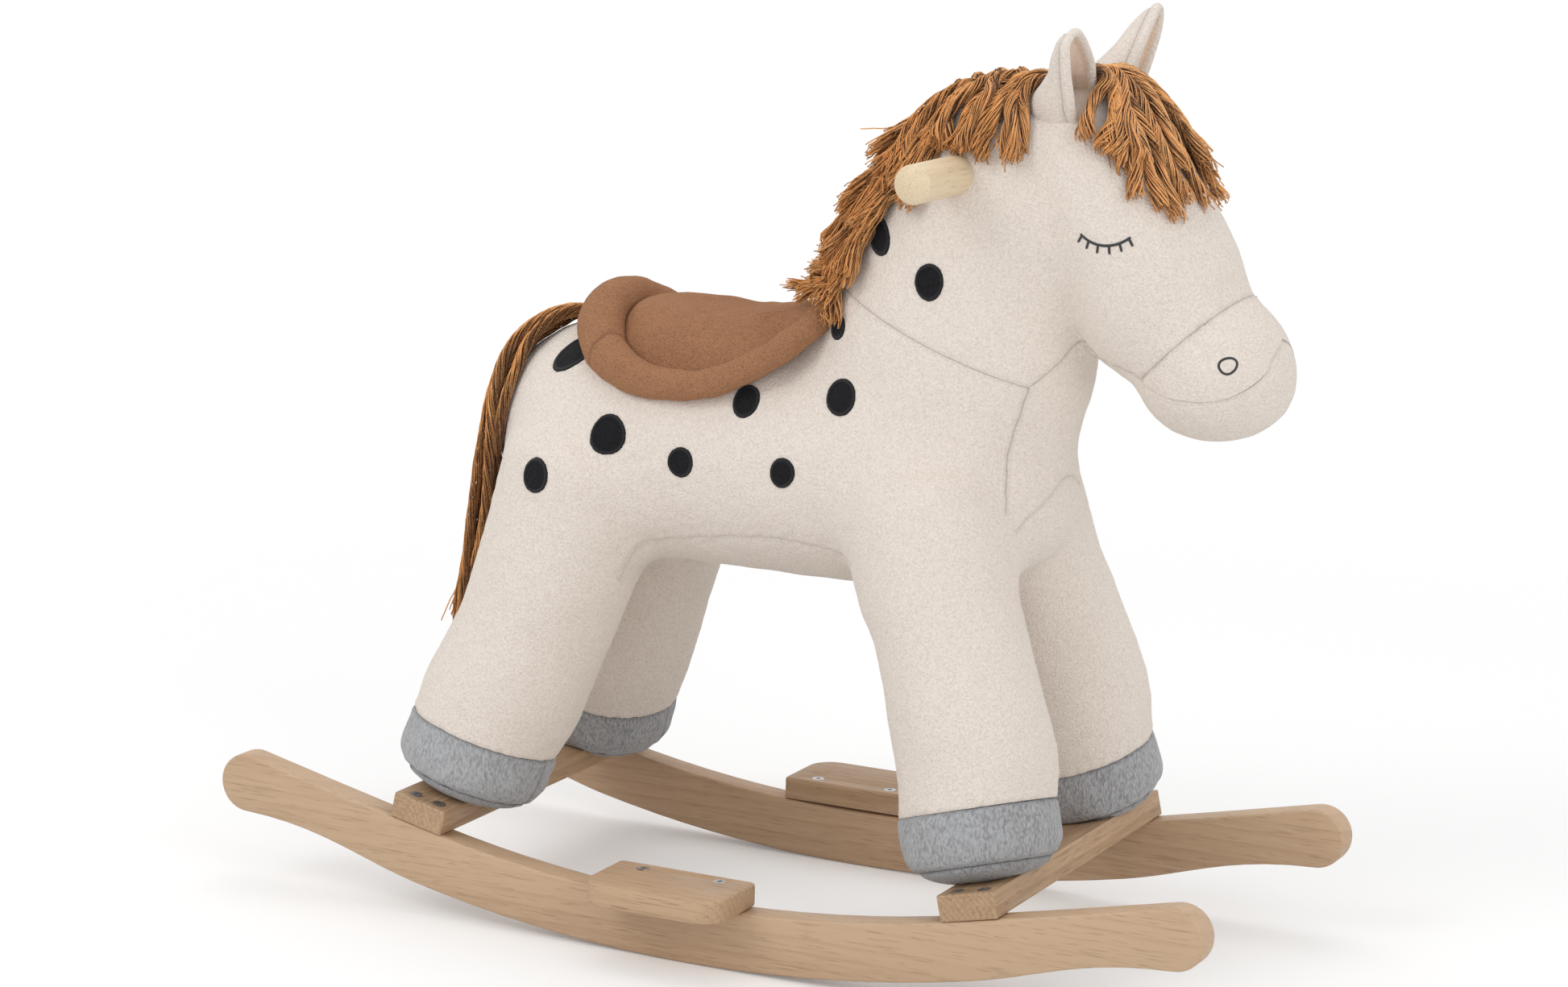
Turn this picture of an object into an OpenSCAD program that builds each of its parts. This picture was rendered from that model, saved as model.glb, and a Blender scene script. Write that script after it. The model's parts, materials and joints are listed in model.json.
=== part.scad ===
// Rocking horse: a plush horse on a wooden frame, standing on two curved wooden rockers.
// +X is the horse's front, +Y its left side, +Z up. The origin lies on the floor under the middle.

/* [Rockers] */
// Length of a rocker from tip to tip
rocker_length = 700; // [640:5:860]
// Radius of the curved rocking edge
rocker_radius = 950; // [800:10:1300]
// Height of the rocker board
rocker_height = 38; // [30:1:50]
// Thickness of the rocker board
rocker_thick = 20; // [15:1:26]
// Width over the outer faces of the two rockers
base_width = 271; // [240:1:340]
// Angle at which the rocking edge ends and the tip's own curve begins
arc_end = 12; // [11:0.5:14]
// Radius of the rounded tip
tip_r = 19.5; // [14:0.5:24]
// How far the tip sits below the line of the arc
tip_drop = 10.5; // [4:0.5:14]
// Slope of the upper edge where it runs into the tip
tip_slope = 13; // [8:1:16]
// Slope of the lower edge where it runs into the tip
tip_under_slope = 2; // [0:1:8]

/* [Slats] */
// Distance from the middle to each cross slat, measured along X
slat_x = 198; // [180:1:230]
// Width of a slat along the rocker
slat_width = 39; // [32:1:50]
// Height of a slat
slat_height = 17; // [14:0.5:24]

/* [Footrests] */
// Length of a footrest along X
foot_length = 98; // [80:1:130]
// Width of a footrest along Y
foot_width = 57; // [48:1:80]
// Thickness of a footrest
foot_thick = 15; // [12:0.5:20]
// Middle of the footrests, measured along X
foot_x = -6; // [-20:1:20]
// Corner radius at the outer edge
foot_outer_r = 18; // [6:1:24]
// Corner radius at the inner edge
foot_inner_r = 4; // [2:0.5:10]

/* [Fasteners] */
// Diameter of a wood screw
screw_d = 4; // [3:0.5:5]
// Diameter of a wood screw's countersunk head
screw_head_d = 8.4; // [7:0.2:10]
// Length of a screw that holds a slat to a rocker
slat_screw_length = 40; // [30:1:50]
// Distance between the two screws of one joint
slat_screw_pitch = 18; // [14:1:24]
// Length of a screw that holds a footrest
foot_screw_length = 36; // [28:1:45]
// Distance between the two screws of a footrest
foot_screw_pitch = 55; // [40:1:70]
// Diameter of a leg bolt
bolt_d = 6; // [5:0.5:8]
// Depth of a leg bolt's thread in the leg post
bolt_depth = 38; // [30:1:45]
// Diameter of the barrel nut in a leg post
barrel_d = 10; // [9:0.5:12]
// Length of that barrel nut
barrel_length = 16; // [12:1:20]
// Diameter of a bolt washer
washer_d = 18; // [14:1:24]
// Thickness of a bolt washer
washer_t = 1.6; // [1:0.2:3]

/* [Inner frame] */
// Side of a square leg post
post_side = 30; // [24:1:36]
// Length of the seat board
seat_board_length = 296; // [270:1:320]
// Width of the seat board
seat_board_width = 132; // [120:1:140]
// Thickness of the seat board
board_thick = 18; // [15:1:22]
// Height of the seat board's underside above the floor
seat_board_z = 290; // [275:1:300]
// Thickness of the upright neck board
neck_board_thick = 18; // [15:1:22]

/* [Handle] */
// Diameter of the handle dowel
handle_d = 24.5; // [20:0.5:28]
// Length of the handle dowel
handle_length = 244; // [220:2:280]
// Height of the dome on each end of the dowel
handle_dome = 4; // [1:0.5:8]
// Width between the free ends of the dowel, turned slightly thinner to pass the neck board
handle_inner = 146; // [100:2:170]
// Place of the handle along X
handle_x = 137; // [125:1:145]
// Height of the handle's axis above the floor
handle_z = 504; // [490:1:515]

/* [Body] */
// Length of the stuffed trunk
trunk_length = 406; // [380:2:430]
// Width of the trunk
trunk_width = 178; // [160:2:200]
// Height of the trunk
trunk_height = 160; // [146:2:174]
// Height of the trunk's axis above the floor
trunk_z = 311; // [306:1:316]

/* [Legs] */
// Diameter of a leg above the hoof
leg_d = 99; // [84:1:110]
// Distance from the middle to a hoof, along X
leg_x = 190; // [182:1:200]
// Distance from the middle to a hoof, along Y
leg_y = 90; // [80:1:94]
// Place of the top of a leg, along X
hip_x = 127; // [110:1:135]
// Place of the top of a leg, along Y
hip_y = 48; // [38:1:52]
// Height of a hoof, measured along the leg
hoof_height = 46; // [36:1:60]
// Depth of the sole panel, measured along the leg
sole_depth = 10; // [6:1:14]
// How deep the sole is pressed down over the slat
sole_sink = 4; // [2:0.5:8]

/* [Covers] */
// Thickness of the plush covers
cover_t = 3; // [2:0.5:5]
// How far the spots and stitches stand out from the cover
trim_rise = 1.2; // [0.8:0.1:2]

/* [Ears] */
// Height of an ear above the head
ear_height = 74; // [56:1:84]
// Width of an ear at its root
ear_width = 48; // [36:1:56]

/* [Saddle] */
// Thickness of the saddle seat
saddle_thick = 15; // [10:1:24]
// Length of the saddle seat
saddle_length = 150; // [120:2:180]
// Width of the saddle seat
saddle_width = 128; // [100:2:150]
// Diameter of the padded roll round the saddle
roll_d = 33; // [24:1:40]

/* [Yarn] */
// Thickness of the mane on the crest
mane_thick = 13; // [8:1:20]
// Thickness of the forelock on the forehead
forelock_thick = 10; // [6:1:16]
// Thickness of the tail near its root
tail_d = 34; // [24:1:40]

/* [Hidden] */

// Clearance between pieces that fit together
gap = 0.3;
// Clearance round the shank of a fastener
hole_gap = 0.2;
// Smoothness of turned wood, of metal and of stuffed fabric
wood_fn = 96;
metal_fn = 32;
fabric_fn = 24;
// Half the size of the blocks that cut the model along a plane
far = 900;

// Colours
beech = "burlywood";
pale_beech = "wheat";
brown_beech = "tan";
steel = "silver";
fleece = "linen";
hoof_plush = "darkgray";
brown_plush = "rosybrown";
yarn = "peru";
stuffing = "white";
thread = "dimgray";
spot_plush = "black";

// ---- Rockers -------------------------------------------------------------------------------

top_radius = rocker_radius - rocker_height;
rocker_y = base_width / 2 - rocker_thick / 2;
tip_x = rocker_length / 2 - tip_r;
tip_z = rocker_radius - sqrt(pow(rocker_radius - rocker_height / 2, 2) - pow(tip_x, 2)) - tip_drop;

function on_arc(r, angle) = [r * sin(angle), rocker_radius - r * cos(angle)];
function along(angle) = [cos(angle), sin(angle)];
function bezier(a, b, c, d, t) =
    pow(1 - t, 3) * a + 3 * t * pow(1 - t, 2) * b + 3 * t * t * (1 - t) * c + pow(t, 3) * d;
// A smooth edge from point a, heading at angle p, to point b, heading at angle q
function edge(a, p, b, q, reach, steps = 10) =
    let (span = norm(b - a))
    [for (i = [0:steps]) bezier(a, a + span / 3 * along(p), b - reach * span * along(q), b, i / steps)];

// Each end reaches this many degrees into the arc, this far inside its edges
end_lap = 1;
end_lap_inset = 8;

module rocker_end() {
    lower_start = on_arc(rocker_radius, arc_end);
    upper_start = on_arc(top_radius, arc_end);
    tip = [tip_x, tip_z];
    lower_tip = tip + tip_r * [sin(tip_under_slope), -cos(tip_under_slope)];
    upper_tip = tip + tip_r * [-sin(tip_slope), cos(tip_slope)];
    lower = edge(lower_start, arc_end, lower_tip, tip_under_slope, 0.45);
    upper = edge(upper_start, arc_end, upper_tip, tip_slope, 0.33);
    lap = [on_arc(rocker_radius - end_lap_inset, arc_end - end_lap),
        on_arc(top_radius + end_lap_inset, arc_end - end_lap)];
    polygon(concat([lap[0]], lower, [for (i = [len(upper) - 1:-1:0]) upper[i]], [lap[1]]));
    translate(tip) circle(r = tip_r, $fn = wood_fn);
}

module rocker_outline() {
    intersection() {
        translate([0, rocker_radius]) difference() {
            circle(r = rocker_radius, $fn = wood_fn);
            circle(r = top_radius, $fn = wood_fn);
        }
        polygon([[0, rocker_radius], on_arc(1.2 * rocker_radius, -arc_end),
            on_arc(1.2 * rocker_radius, arc_end)]);
    }
    for (side = [0, 1]) mirror([side, 0]) rocker_end();
}

module rocker(side) {
    color(beech) difference() {
        translate([0, side * rocker_y + rocker_thick / 2, 0]) rotate([90, 0, 0])
            linear_extrude(rocker_thick) rocker_outline();
        slat_screw_places(side) screw_hole(slat_screw_length);
        foot_screw_places(side) screw_hole(foot_screw_length);
    }
}

// ---- Wood screws ---------------------------------------------------------------------------

screw_head_h = (screw_head_d - screw_d) / 2;

// A countersunk screw that points down, with its head flush with z = 0
module wood_screw(length) {
    color(steel) difference() {
        union() {
            translate([0, 0, -screw_head_h])
                cylinder(r1 = screw_d / 2, r2 = screw_head_d / 2, h = screw_head_h, $fn = metal_fn);
            translate([0, 0, -length + screw_d])
                cylinder(d = screw_d, h = length - screw_d - screw_head_h, $fn = metal_fn);
            translate([0, 0, -length])
                cylinder(r1 = screw_d / 8, r2 = screw_d / 2, h = screw_d, $fn = metal_fn);
        }
        for (turn = [0, 90]) rotate(turn)
            cube([screw_head_d / 2, screw_d / 4, screw_head_h], center = true);
    }
}

// The hole for that screw, countersunk
module screw_hole(length) {
    translate([0, 0, -length - gap]) cylinder(d = screw_d + hole_gap, h = length + 2, $fn = metal_fn);
    translate([0, 0, -screw_head_h]) cylinder(r1 = (screw_d + hole_gap) / 2,
        r2 = (screw_head_d + hole_gap) / 2, h = screw_head_h, $fn = metal_fn);
    cylinder(d = screw_head_d + hole_gap, h = 5, $fn = metal_fn);
}

// ---- Slats ---------------------------------------------------------------------------------

// A slat's flat underside stands on the hollow upper edge of the rockers with its two corners
slat_seat = sqrt(pow(top_radius, 2) - pow(slat_width / 2, 2));
slat_angle = asin(slat_x / slat_seat);

// Puts the origin in the middle of a slat's upper face, with Z square to it
module on_slat(front) {
    translate([0, 0, rocker_radius]) rotate([0, -front * slat_angle, 0])
        translate([0, 0, -slat_seat + slat_height]) children();
}

module slat_screw_places(side) {
    for (front = [-1, 1]) on_slat(front) for (end = [-1, 1])
        translate([end * slat_screw_pitch / 2, side * rocker_y, 0]) children();
}

module slat(front) {
    color(brown_beech) difference() {
        on_slat(front) translate([-slat_width / 2, -base_width / 2, -slat_height])
            cube([slat_width, base_width, slat_height]);
        for (side = [-1, 1]) slat_screw_places(side) screw_hole(slat_screw_length);
        for (side = [-1, 1]) bolt_place(front, side)
            translate([0, 0, -2 * slat_height]) cylinder(d = bolt_d + 2 * hole_gap, h = 4 * slat_height,
                $fn = metal_fn);
    }
}

module slat_screws() {
    for (side = [-1, 1]) slat_screw_places(side) wood_screw(slat_screw_length);
}

// ---- Footrests -----------------------------------------------------------------------------

// A footrest is flat, so it stands on the rocker's hollow upper edge at its two ends
foot_z = rocker_radius - sqrt(pow(top_radius, 2) - pow(foot_length / 2 + abs(foot_x), 2));
foot_inner_y = base_width / 2 - rocker_thick;

module foot_screw_places(side) {
    for (end = [-1, 1])
        translate([foot_x + end * foot_screw_pitch / 2, side * rocker_y, foot_z + foot_thick]) children();
}

module footrest_outline() {
    x = foot_length / 2;
    difference() {
        translate([-x, 0]) square([foot_length, foot_width]);
        for (side = [-1, 1]) {
            corner_cut([side * x, foot_width], [-side, -1], foot_outer_r);
            corner_cut([side * x, 0], [-side, 1], foot_inner_r);
        }
    }
}

// What a round corner takes off a square one; inward points from the corner into the board
module corner_cut(corner, inward, r) {
    translate(corner) difference() {
        translate([inward[0] > 0 ? -1 : -r, inward[1] > 0 ? -1 : -r]) square([r + 1, r + 1]);
        translate(r * inward) circle(r = r, $fn = wood_fn);
    }
}

module footrest(side) {
    color(brown_beech) difference() {
        translate([foot_x, side * foot_inner_y, foot_z]) mirror([0, side < 0 ? 1 : 0, 0])
            linear_extrude(foot_thick) footrest_outline();
        foot_screw_places(side) screw_hole(foot_screw_length);
    }
}

module footrest_screws() {
    for (side = [-1, 1]) foot_screw_places(side) wood_screw(foot_screw_length);
}

// ---- Legs: shape ---------------------------------------------------------------------------

// A leg runs along a line from the middle of its hoof's bottom to its top in the trunk
hoof_top = rocker_radius - (slat_seat - slat_height) * cos(asin(leg_x / (slat_seat - slat_height)));
foot_point_z = hoof_top - sole_sink;
hip_z = seat_board_z;
leg_line = [hip_x - leg_x, hip_y - leg_y, hip_z - foot_point_z];
leg_length = norm(leg_line);
leg_tilt = acos(leg_line[2] / leg_length);
leg_turn = atan2(leg_line[1], leg_line[0]);
// Height over which the hoof's bottom rounds off, and how much the leg widens at its top
hoof_round = 30;
leg_flare = 9;
// Height of the round shoulder above the top of the leg's line
shoulder = 40;

// Puts the origin at the bottom of a leg, with Z along it
module on_leg(front, side) {
    mirror([front < 0 ? 1 : 0, 0, 0]) mirror([0, side < 0 ? 1 : 0, 0])
        translate([leg_x, leg_y, foot_point_z]) rotate([0, 0, leg_turn]) rotate([0, leg_tilt, 0]) children();
}

// Radius of the leg at a distance s from its bottom, drawn in by inset
function leg_radius(s, inset) =
    let (u = max(0, 1 - (s + 0.6) / hoof_round), rise = min(1, s / leg_length),
        over = max(0, s - leg_length) / shoulder)
    (leg_d / 2 * pow(1 - pow(u, 2.6), 0.45) + leg_flare * pow(rise, 2.5)) * sqrt(1 - over * over) - inset;

module leg_shape(front, side, inset) {
    stops = concat([for (i = [0:4]) hoof_round * (1 - cos(18 * i))],
        [for (i = [1:5]) hoof_round + (leg_length - hoof_round) * i / 5],
        [for (i = [1:3]) leg_length + shoulder * sin(28 * i)]);
    on_leg(front, side) for (i = [0:len(stops) - 2]) hull() for (s = [stops[i], stops[i + 1]])
        translate([0, 0, s + inset * (1 - 2 * s / (leg_length + shoulder))])
            cylinder(r = max(1, leg_radius(s, inset)), h = 0.02, $fn = fabric_fn);
}

// The space that a slat takes, grown on its upper side and its edges
module slat_space(front, grow) {
    on_slat(front) translate([-slat_width / 2 - grow, -base_width, -3 * slat_height])
        cube([slat_width + 2 * grow, 2 * base_width, 3 * slat_height + grow]);
}

// A leg with the dent that the slat presses into its sole
module leg_solid(front, side, inset) {
    difference() {
        leg_shape(front, side, inset);
        slat_space(front, gap + inset);
    }
}

module leg_span(front, side, from, to) {
    on_leg(front, side) translate([-leg_d, -leg_d, from]) cube([2 * leg_d, 2 * leg_d, to - from]);
}

// ---- Leg posts and bolts -------------------------------------------------------------------

// The bolt comes up square through the slat, where the leg's line meets the slat's upper face
bolt_x = leg_x - 1;
bolt_head_h = 0.7 * bolt_d;
// The bolt starts under the slat and its washer
bolt_start = -slat_height - washer_t;
// How far the foot of a leg post stays above the sole's plush
post_lift = 2.2;
post_foot = cover_t + post_lift;
barrel_at = post_foot + bolt_depth - 0.9 * barrel_d;

module bolt_place(front, side) {
    slat_face = slat_seat - slat_height;
    offset_along = slat_face * tan(asin(bolt_x / slat_face) - slat_angle);
    on_slat(front) translate([front * offset_along, side * (leg_y - 1), 0]) children();
}

module leg_post(front, side) {
    color(pale_beech) difference() {
        intersection() {
            on_leg(front, side) rotate([0, 0, -leg_turn]) translate([-post_side / 2, -post_side / 2, -leg_length])
                cube([post_side, post_side, 3 * leg_length]);
            on_slat(front) translate([-far, -far, post_foot]) cube(2 * far);
            translate([-far, -far, seat_board_z - 2 * far]) cube(2 * far);
        }
        bolt_place(front, side) {
            cylinder(d = bolt_d + 2 * hole_gap, h = post_foot + bolt_depth + 4, $fn = metal_fn);
            translate([0, 0, barrel_at]) rotate([90, 0, 0])
                cylinder(d = barrel_d + hole_gap, h = 2 * post_side, center = true, $fn = metal_fn);
        }
        post_screw_place(front, side) screw_hole(post_screw_length);
    }
}

module leg_bolts() {
    color(steel) for (front = [-1, 1], side = [-1, 1]) bolt_place(front, side) {
        translate([0, 0, bolt_start]) cylinder(d = bolt_d, h = -bolt_start + post_foot + bolt_depth,
            $fn = metal_fn);
        translate([0, 0, bolt_start - bolt_head_h]) cylinder(d = 1.9 * bolt_d, h = bolt_head_h, $fn = 6);
    }
}

module bolt_washers() {
    color(steel) for (front = [-1, 1], side = [-1, 1]) bolt_place(front, side)
        translate([0, 0, bolt_start + gap / 4]) difference() {
            cylinder(d = washer_d, h = washer_t - gap / 2, $fn = metal_fn);
            translate([0, 0, -1]) cylinder(d = bolt_d + 2 * hole_gap, h = washer_t + 2, $fn = metal_fn);
        }
}

module barrel_nuts() {
    color(steel) for (front = [-1, 1], side = [-1, 1]) bolt_place(front, side) difference() {
        translate([0, 0, barrel_at]) rotate([90, 0, 0])
            cylinder(d = barrel_d, h = barrel_length, center = true, $fn = metal_fn);
        cylinder(d = bolt_d + 2 * hole_gap, h = 2 * bolt_depth, $fn = metal_fn);
    }
}

// ---- Seat board and neck board -------------------------------------------------------------

seat_board_top = seat_board_z + board_thick;
post_screw_length = board_thick + 32;
neck_screw_length = board_thick + 30;
// Foot of the neck board along X, and its top behind the forehead
neck_board_foot = [62, 148];
neck_board_head = [112, 168];
neck_board_top = handle_z + 22;
neck_screw_inset = 22;

module post_screw_place(front, side) {
    translate([front * hip_x, side * hip_y, seat_board_top]) children();
}

module neck_screw_places() {
    for (x = [neck_board_foot[0] + neck_screw_inset, neck_board_foot[1] - neck_screw_inset])
        translate([x, 0, seat_board_z]) mirror([0, 0, 1]) children();
}

module seat_board() {
    color(pale_beech) difference() {
        translate([-seat_board_length / 2, -seat_board_width / 2, seat_board_z])
            cube([seat_board_length, seat_board_width, board_thick]);
        for (front = [-1, 1], side = [-1, 1]) post_screw_place(front, side) screw_hole(post_screw_length);
        neck_screw_places() screw_hole(neck_screw_length);
    }
}

module post_screws() {
    for (front = [-1, 1], side = [-1, 1]) post_screw_place(front, side) wood_screw(post_screw_length);
}

module neck_board_body(grow) {
    rotate([90, 0, 0]) translate([0, 0, -neck_board_thick / 2 - grow])
        linear_extrude(neck_board_thick + 2 * grow) polygon([
            [neck_board_foot[0] - grow, seat_board_top - grow], [neck_board_foot[1] + grow, seat_board_top - grow],
            [neck_board_head[1] + grow, neck_board_top + grow], [neck_board_head[0] - grow, neck_board_top + grow]]);
}

module neck_board() {
    color(pale_beech) difference() {
        neck_board_body(0);
        handle_place() cylinder(d = handle_d + hole_gap, h = 2 * neck_board_thick, center = true, $fn = wood_fn);
        handle_pin_place() translate([0, 0, -pin_length - gap])
            cylinder(d = pin_d + hole_gap, h = pin_length + 2 * gap + 10, $fn = metal_fn);
        neck_screw_places() screw_hole(neck_screw_length);
    }
}

module neck_board_screws() {
    neck_screw_places() wood_screw(neck_screw_length);
}

// ---- Handle --------------------------------------------------------------------------------

handle_r = handle_d / 2;
dome_r = (handle_r * handle_r + handle_dome * handle_dome) / (2 * handle_dome);
// How much thinner, on each side, the dowel is between its free ends
neck_step = 0.3;
// A steel pin holds the dowel in the neck board
pin_d = 4;
pin_length = neck_board_top - handle_z + handle_r / 2;

module handle_place() {
    translate([handle_x, 0, handle_z]) rotate([90, 0, 0]) children();
}

module handle_pin_place() {
    translate([handle_x, 0, neck_board_top]) children();
}

module handle_dowel() {
    straight = handle_length - 2 * handle_dome;
    color(pale_beech) difference() {
        handle_place() {
            cylinder(d = handle_d - 2 * neck_step, h = straight, center = true, $fn = wood_fn);
            for (end = [0, 1]) mirror([0, 0, end]) translate([0, 0, handle_inner / 2])
                cylinder(d = handle_d, h = (straight - handle_inner) / 2, $fn = wood_fn);
            for (end = [0, 1]) mirror([0, 0, end]) translate([0, 0, straight / 2]) intersection() {
                cylinder(d = handle_d, h = handle_dome + 1, $fn = wood_fn);
                translate([0, 0, handle_dome - dome_r]) sphere(r = dome_r, $fn = wood_fn);
            }
        }
        handle_pin_place() translate([0, 0, -pin_length - gap])
            cylinder(d = pin_d + hole_gap, h = 2 * pin_length, $fn = metal_fn);
    }
}

module handle_pin() {
    color(steel) handle_pin_place() translate([0, 0, -pin_length])
        cylinder(d = pin_d, h = pin_length, $fn = metal_fn);
}

// ---- Trunk, neck and head: shape -----------------------------------------------------------

// Slices of the neck from the trunk to the poll: [x, z, half depth, half width, lean]
neck_slices = [
    [104, 300, 93, 78, 6],
    [110, 345, 95, 78, 10],
    [119, 392, 92, 74, 14],
    [130, 436, 84, 66, 17],
    [146, 476, 76, 60, 18],
    [161, 510, 68, 56, 16],
    [172, 536, 52, 47, 12],
    [174, 549, 28, 27, 10],
    [173, 553, 6, 6, 10]];

// The head runs down and forward from this point, at this angle below the level
head_start = [150, 500];
head_pitch = 46;
// Slices of the head: [distance along it, rise of its middle, half depth, half width]
head_slices = [
    [-14, 50, 22, 28],
    [6, 50, 44, 49],
    [42, 47, 50, 57],
    [81, 39, 53, 58],
    [118, 29, 56, 54],
    [140, 27, 50, 49],
    [155, 26, 45, 46],
    [168, 26, 46.5, 48],
    [186, 27, 45, 47],
    [203, 28.5, 38, 40],
    [217, 30.5, 26, 28],
    [225, 32, 12, 13],
    [227, 32, 4, 4]];

function blunt(u, n, m) = pow(max(0, 1 - pow(abs(u), n)), 1 / m);

// A slice across a stuffed limb: its normal leans from Z towards X
module slice(x, z, depth, width, lean) {
    translate([x, 0, z]) rotate([0, lean, 0]) scale([max(1, depth), max(1, width), 1])
        cylinder(r = 1, h = 0.02, $fn = fabric_fn);
}

module trunk(inset) {
    half = trunk_length / 2;
    turns = [for (i = [-5:5]) sin(i * 17.5)];
    for (i = [0:len(turns) - 2]) hull() for (u = [turns[i], turns[i + 1]])
        slice(u * (half - inset), trunk_z, trunk_height / 2 * blunt(u, 4.5, 2.3) - inset,
            trunk_width / 2 * blunt(u, 4, 2.2) - inset, 90);
}

module neck(inset) {
    for (i = [0:len(neck_slices) - 2]) hull() for (s = [neck_slices[i], neck_slices[i + 1]])
        slice(s[0], s[1] - inset * (s[1] > neck_slices[6][1] ? 1 : 0), s[2] - inset, s[3] - inset, s[4]);
}

module head(inset) {
    for (i = [0:len(head_slices) - 2]) hull() for (s = [head_slices[i], head_slices[i + 1]]) {
        reach = s[0] + inset * (s[0] > 180 ? -1 : s[0] < 0 ? 1 : 0);
        slice(head_start[0] + reach * cos(head_pitch) + s[1] * sin(head_pitch),
            head_start[1] - reach * sin(head_pitch) + s[1] * cos(head_pitch),
            s[2] - inset, s[3] - inset, 90 + head_pitch);
    }
}

// Trunk, neck and head together, drawn in by inset
module skin(inset) {
    trunk(inset);
    neck(inset);
    head(inset);
}

// The neck seam runs down and forward from the crest; the muzzle seam lies across the head
neck_seam = [79, 419];
neck_seam_slope = 22;
muzzle_seam_at = 156;

module above_neck_seam(start) {
    translate([neck_seam[0], 0, neck_seam[1]]) rotate([0, neck_seam_slope, 0])
        translate([-far, -far, start]) cube(2 * far);
}

module beyond_muzzle_seam(start) {
    translate([head_start[0], 0, head_start[1]]) rotate([0, 90 + head_pitch, 0])
        translate([-far, -far, muzzle_seam_at + start]) cube(2 * far);
}

// ---- Covers --------------------------------------------------------------------------------

module legs_inside() {
    for (front = [-1, 1], side = [-1, 1]) leg_shape(front, side, cover_t);
}

module body_cover() {
    color(fleece) render() difference() {
        skin(0);
        skin(cover_t);
        above_neck_seam(-gap / 2);
        legs_inside();
    }
}

module head_cover() {
    color(fleece) render() difference() {
        intersection() {
            skin(0);
            above_neck_seam(gap / 2);
        }
        skin(cover_t);
        beyond_muzzle_seam(-gap / 2);
        handle_place() cylinder(d = handle_d + 2 * gap, h = handle_length, center = true, $fn = fabric_fn);
    }
}

module muzzle_cover() {
    color(fleece) render() difference() {
        intersection() {
            head(0);
            beyond_muzzle_seam(gap / 2);
        }
        head(cover_t);
    }
}

module leg_cover(front, side) {
    color(fleece) render() difference() {
        leg_solid(front, side, 0);
        leg_solid(front, side, cover_t);
        skin(-gap);
        leg_span(front, side, -leg_d, hoof_height + gap / 2);
    }
}

module hoof(front, side) {
    color(hoof_plush) render() difference() {
        leg_solid(front, side, 0);
        leg_solid(front, side, cover_t);
        leg_span(front, side, -leg_d, sole_depth + gap / 2);
        leg_span(front, side, hoof_height - gap / 2, 2 * leg_length);
    }
}

module sole(front, side) {
    color(hoof_plush) render() difference() {
        leg_solid(front, side, 0);
        leg_solid(front, side, cover_t);
        leg_span(front, side, sole_depth - gap / 2, 2 * leg_length);
        bolt_place(front, side) cylinder(d = bolt_d + 2 * gap, h = 3 * leg_d, center = true, $fn = fabric_fn);
    }
}

// ---- Fillings ------------------------------------------------------------------------------

filling_inset = cover_t + gap;

module post_space(front, side) {
    on_leg(front, side) rotate([0, 0, -leg_turn])
        translate([-post_side / 2 - gap, -post_side / 2 - gap, -leg_length])
            cube([post_side + 2 * gap, post_side + 2 * gap, 2 * leg_length + board_thick]);
}

module seat_board_space() {
    translate([-seat_board_length / 2 - gap, -seat_board_width / 2 - gap, seat_board_z - gap])
        cube([seat_board_length + 2 * gap, seat_board_width + 2 * gap, board_thick + 2 * gap]);
}

module handle_space() {
    handle_place() cylinder(d = handle_d + 2 * gap, h = handle_length, center = true, $fn = fabric_fn);
}

module body_filling() {
    color(stuffing) render() difference() {
        skin(filling_inset);
        above_neck_seam(-gap / 2);
        seat_board_space();
        neck_board_body(gap);
        for (front = [-1, 1], side = [-1, 1]) intersection() {
            post_space(front, side);
            translate([-far, -far, seat_board_top - 2 * far]) cube(2 * far);
        }
    }
}

module head_filling() {
    color(stuffing) render() difference() {
        intersection() {
            skin(filling_inset);
            above_neck_seam(gap / 2);
        }
        neck_board_body(gap);
        handle_space();
    }
}

module leg_filling(front, side) {
    color(stuffing) render() difference() {
        leg_solid(front, side, filling_inset);
        skin(cover_t);
        post_space(front, side);
        bolt_place(front, side) cylinder(d = bolt_d + 2 * gap, h = 2 * post_foot, $fn = fabric_fn);
    }
}

// ---- Ears ----------------------------------------------------------------------------------

// Root of the right ear, and how it leans outward and forward
ear_root = [210, 41, 538];
ear_splay = 26;
ear_forward = 15;
// The hollow of the ear opens forward and a little outward
ear_open = 25;
ear_wall = 6;

module ear_cone(width, height, tip) {
    hull() {
        scale([0.86, 1, 1]) cylinder(d = width, h = 1, $fn = fabric_fn);
        translate([0, 0, 0.5 * height]) scale([0.86, 1, 1]) cylinder(d = 0.84 * width, h = 1, $fn = fabric_fn);
        translate([0, 0, height - tip]) sphere(r = tip, $fn = fabric_fn / 2);
    }
}

module on_ear(side) {
    translate([ear_root[0], side * ear_root[1], ear_root[2]])
        rotate([-side * ear_splay, ear_forward, side * ear_open]) children();
}

module ear(side) {
    color(fleece) render() difference() {
        on_ear(side) difference() {
            ear_cone(ear_width, ear_height, 8);
            translate([0.34 * ear_width, 0, -1])
                ear_cone(ear_width - 2 * ear_wall, ear_height - 2.2 * ear_wall, 5);
        }
        skin(-gap);
    }
}

module ear_space(side) {
    on_ear(side) ear_cone(ear_width + 2 * gap, ear_height + gap, 8);
}

// ---- Saddle --------------------------------------------------------------------------------

saddle_x = -32;
// Half of the roll's line, from the back of the saddle round its right side to its front
roll_line = [
    [-127, 0, 396], [-121, 36, 388], [-102, 62, 372], [-66, 76, 364], [-26, 78, 368],
    [8, 74, 381], [34, 63, 398], [50, 42, 416], [56, 0, 430]];

module roll(grow) {
    for (side = [-1, 1], i = [0:len(roll_line) - 2]) hull() for (p = [roll_line[i], roll_line[i + 1]])
        translate([p[0], side * p[1], p[2]]) sphere(d = roll_d + 2 * grow, $fn = 12);
}

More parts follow.
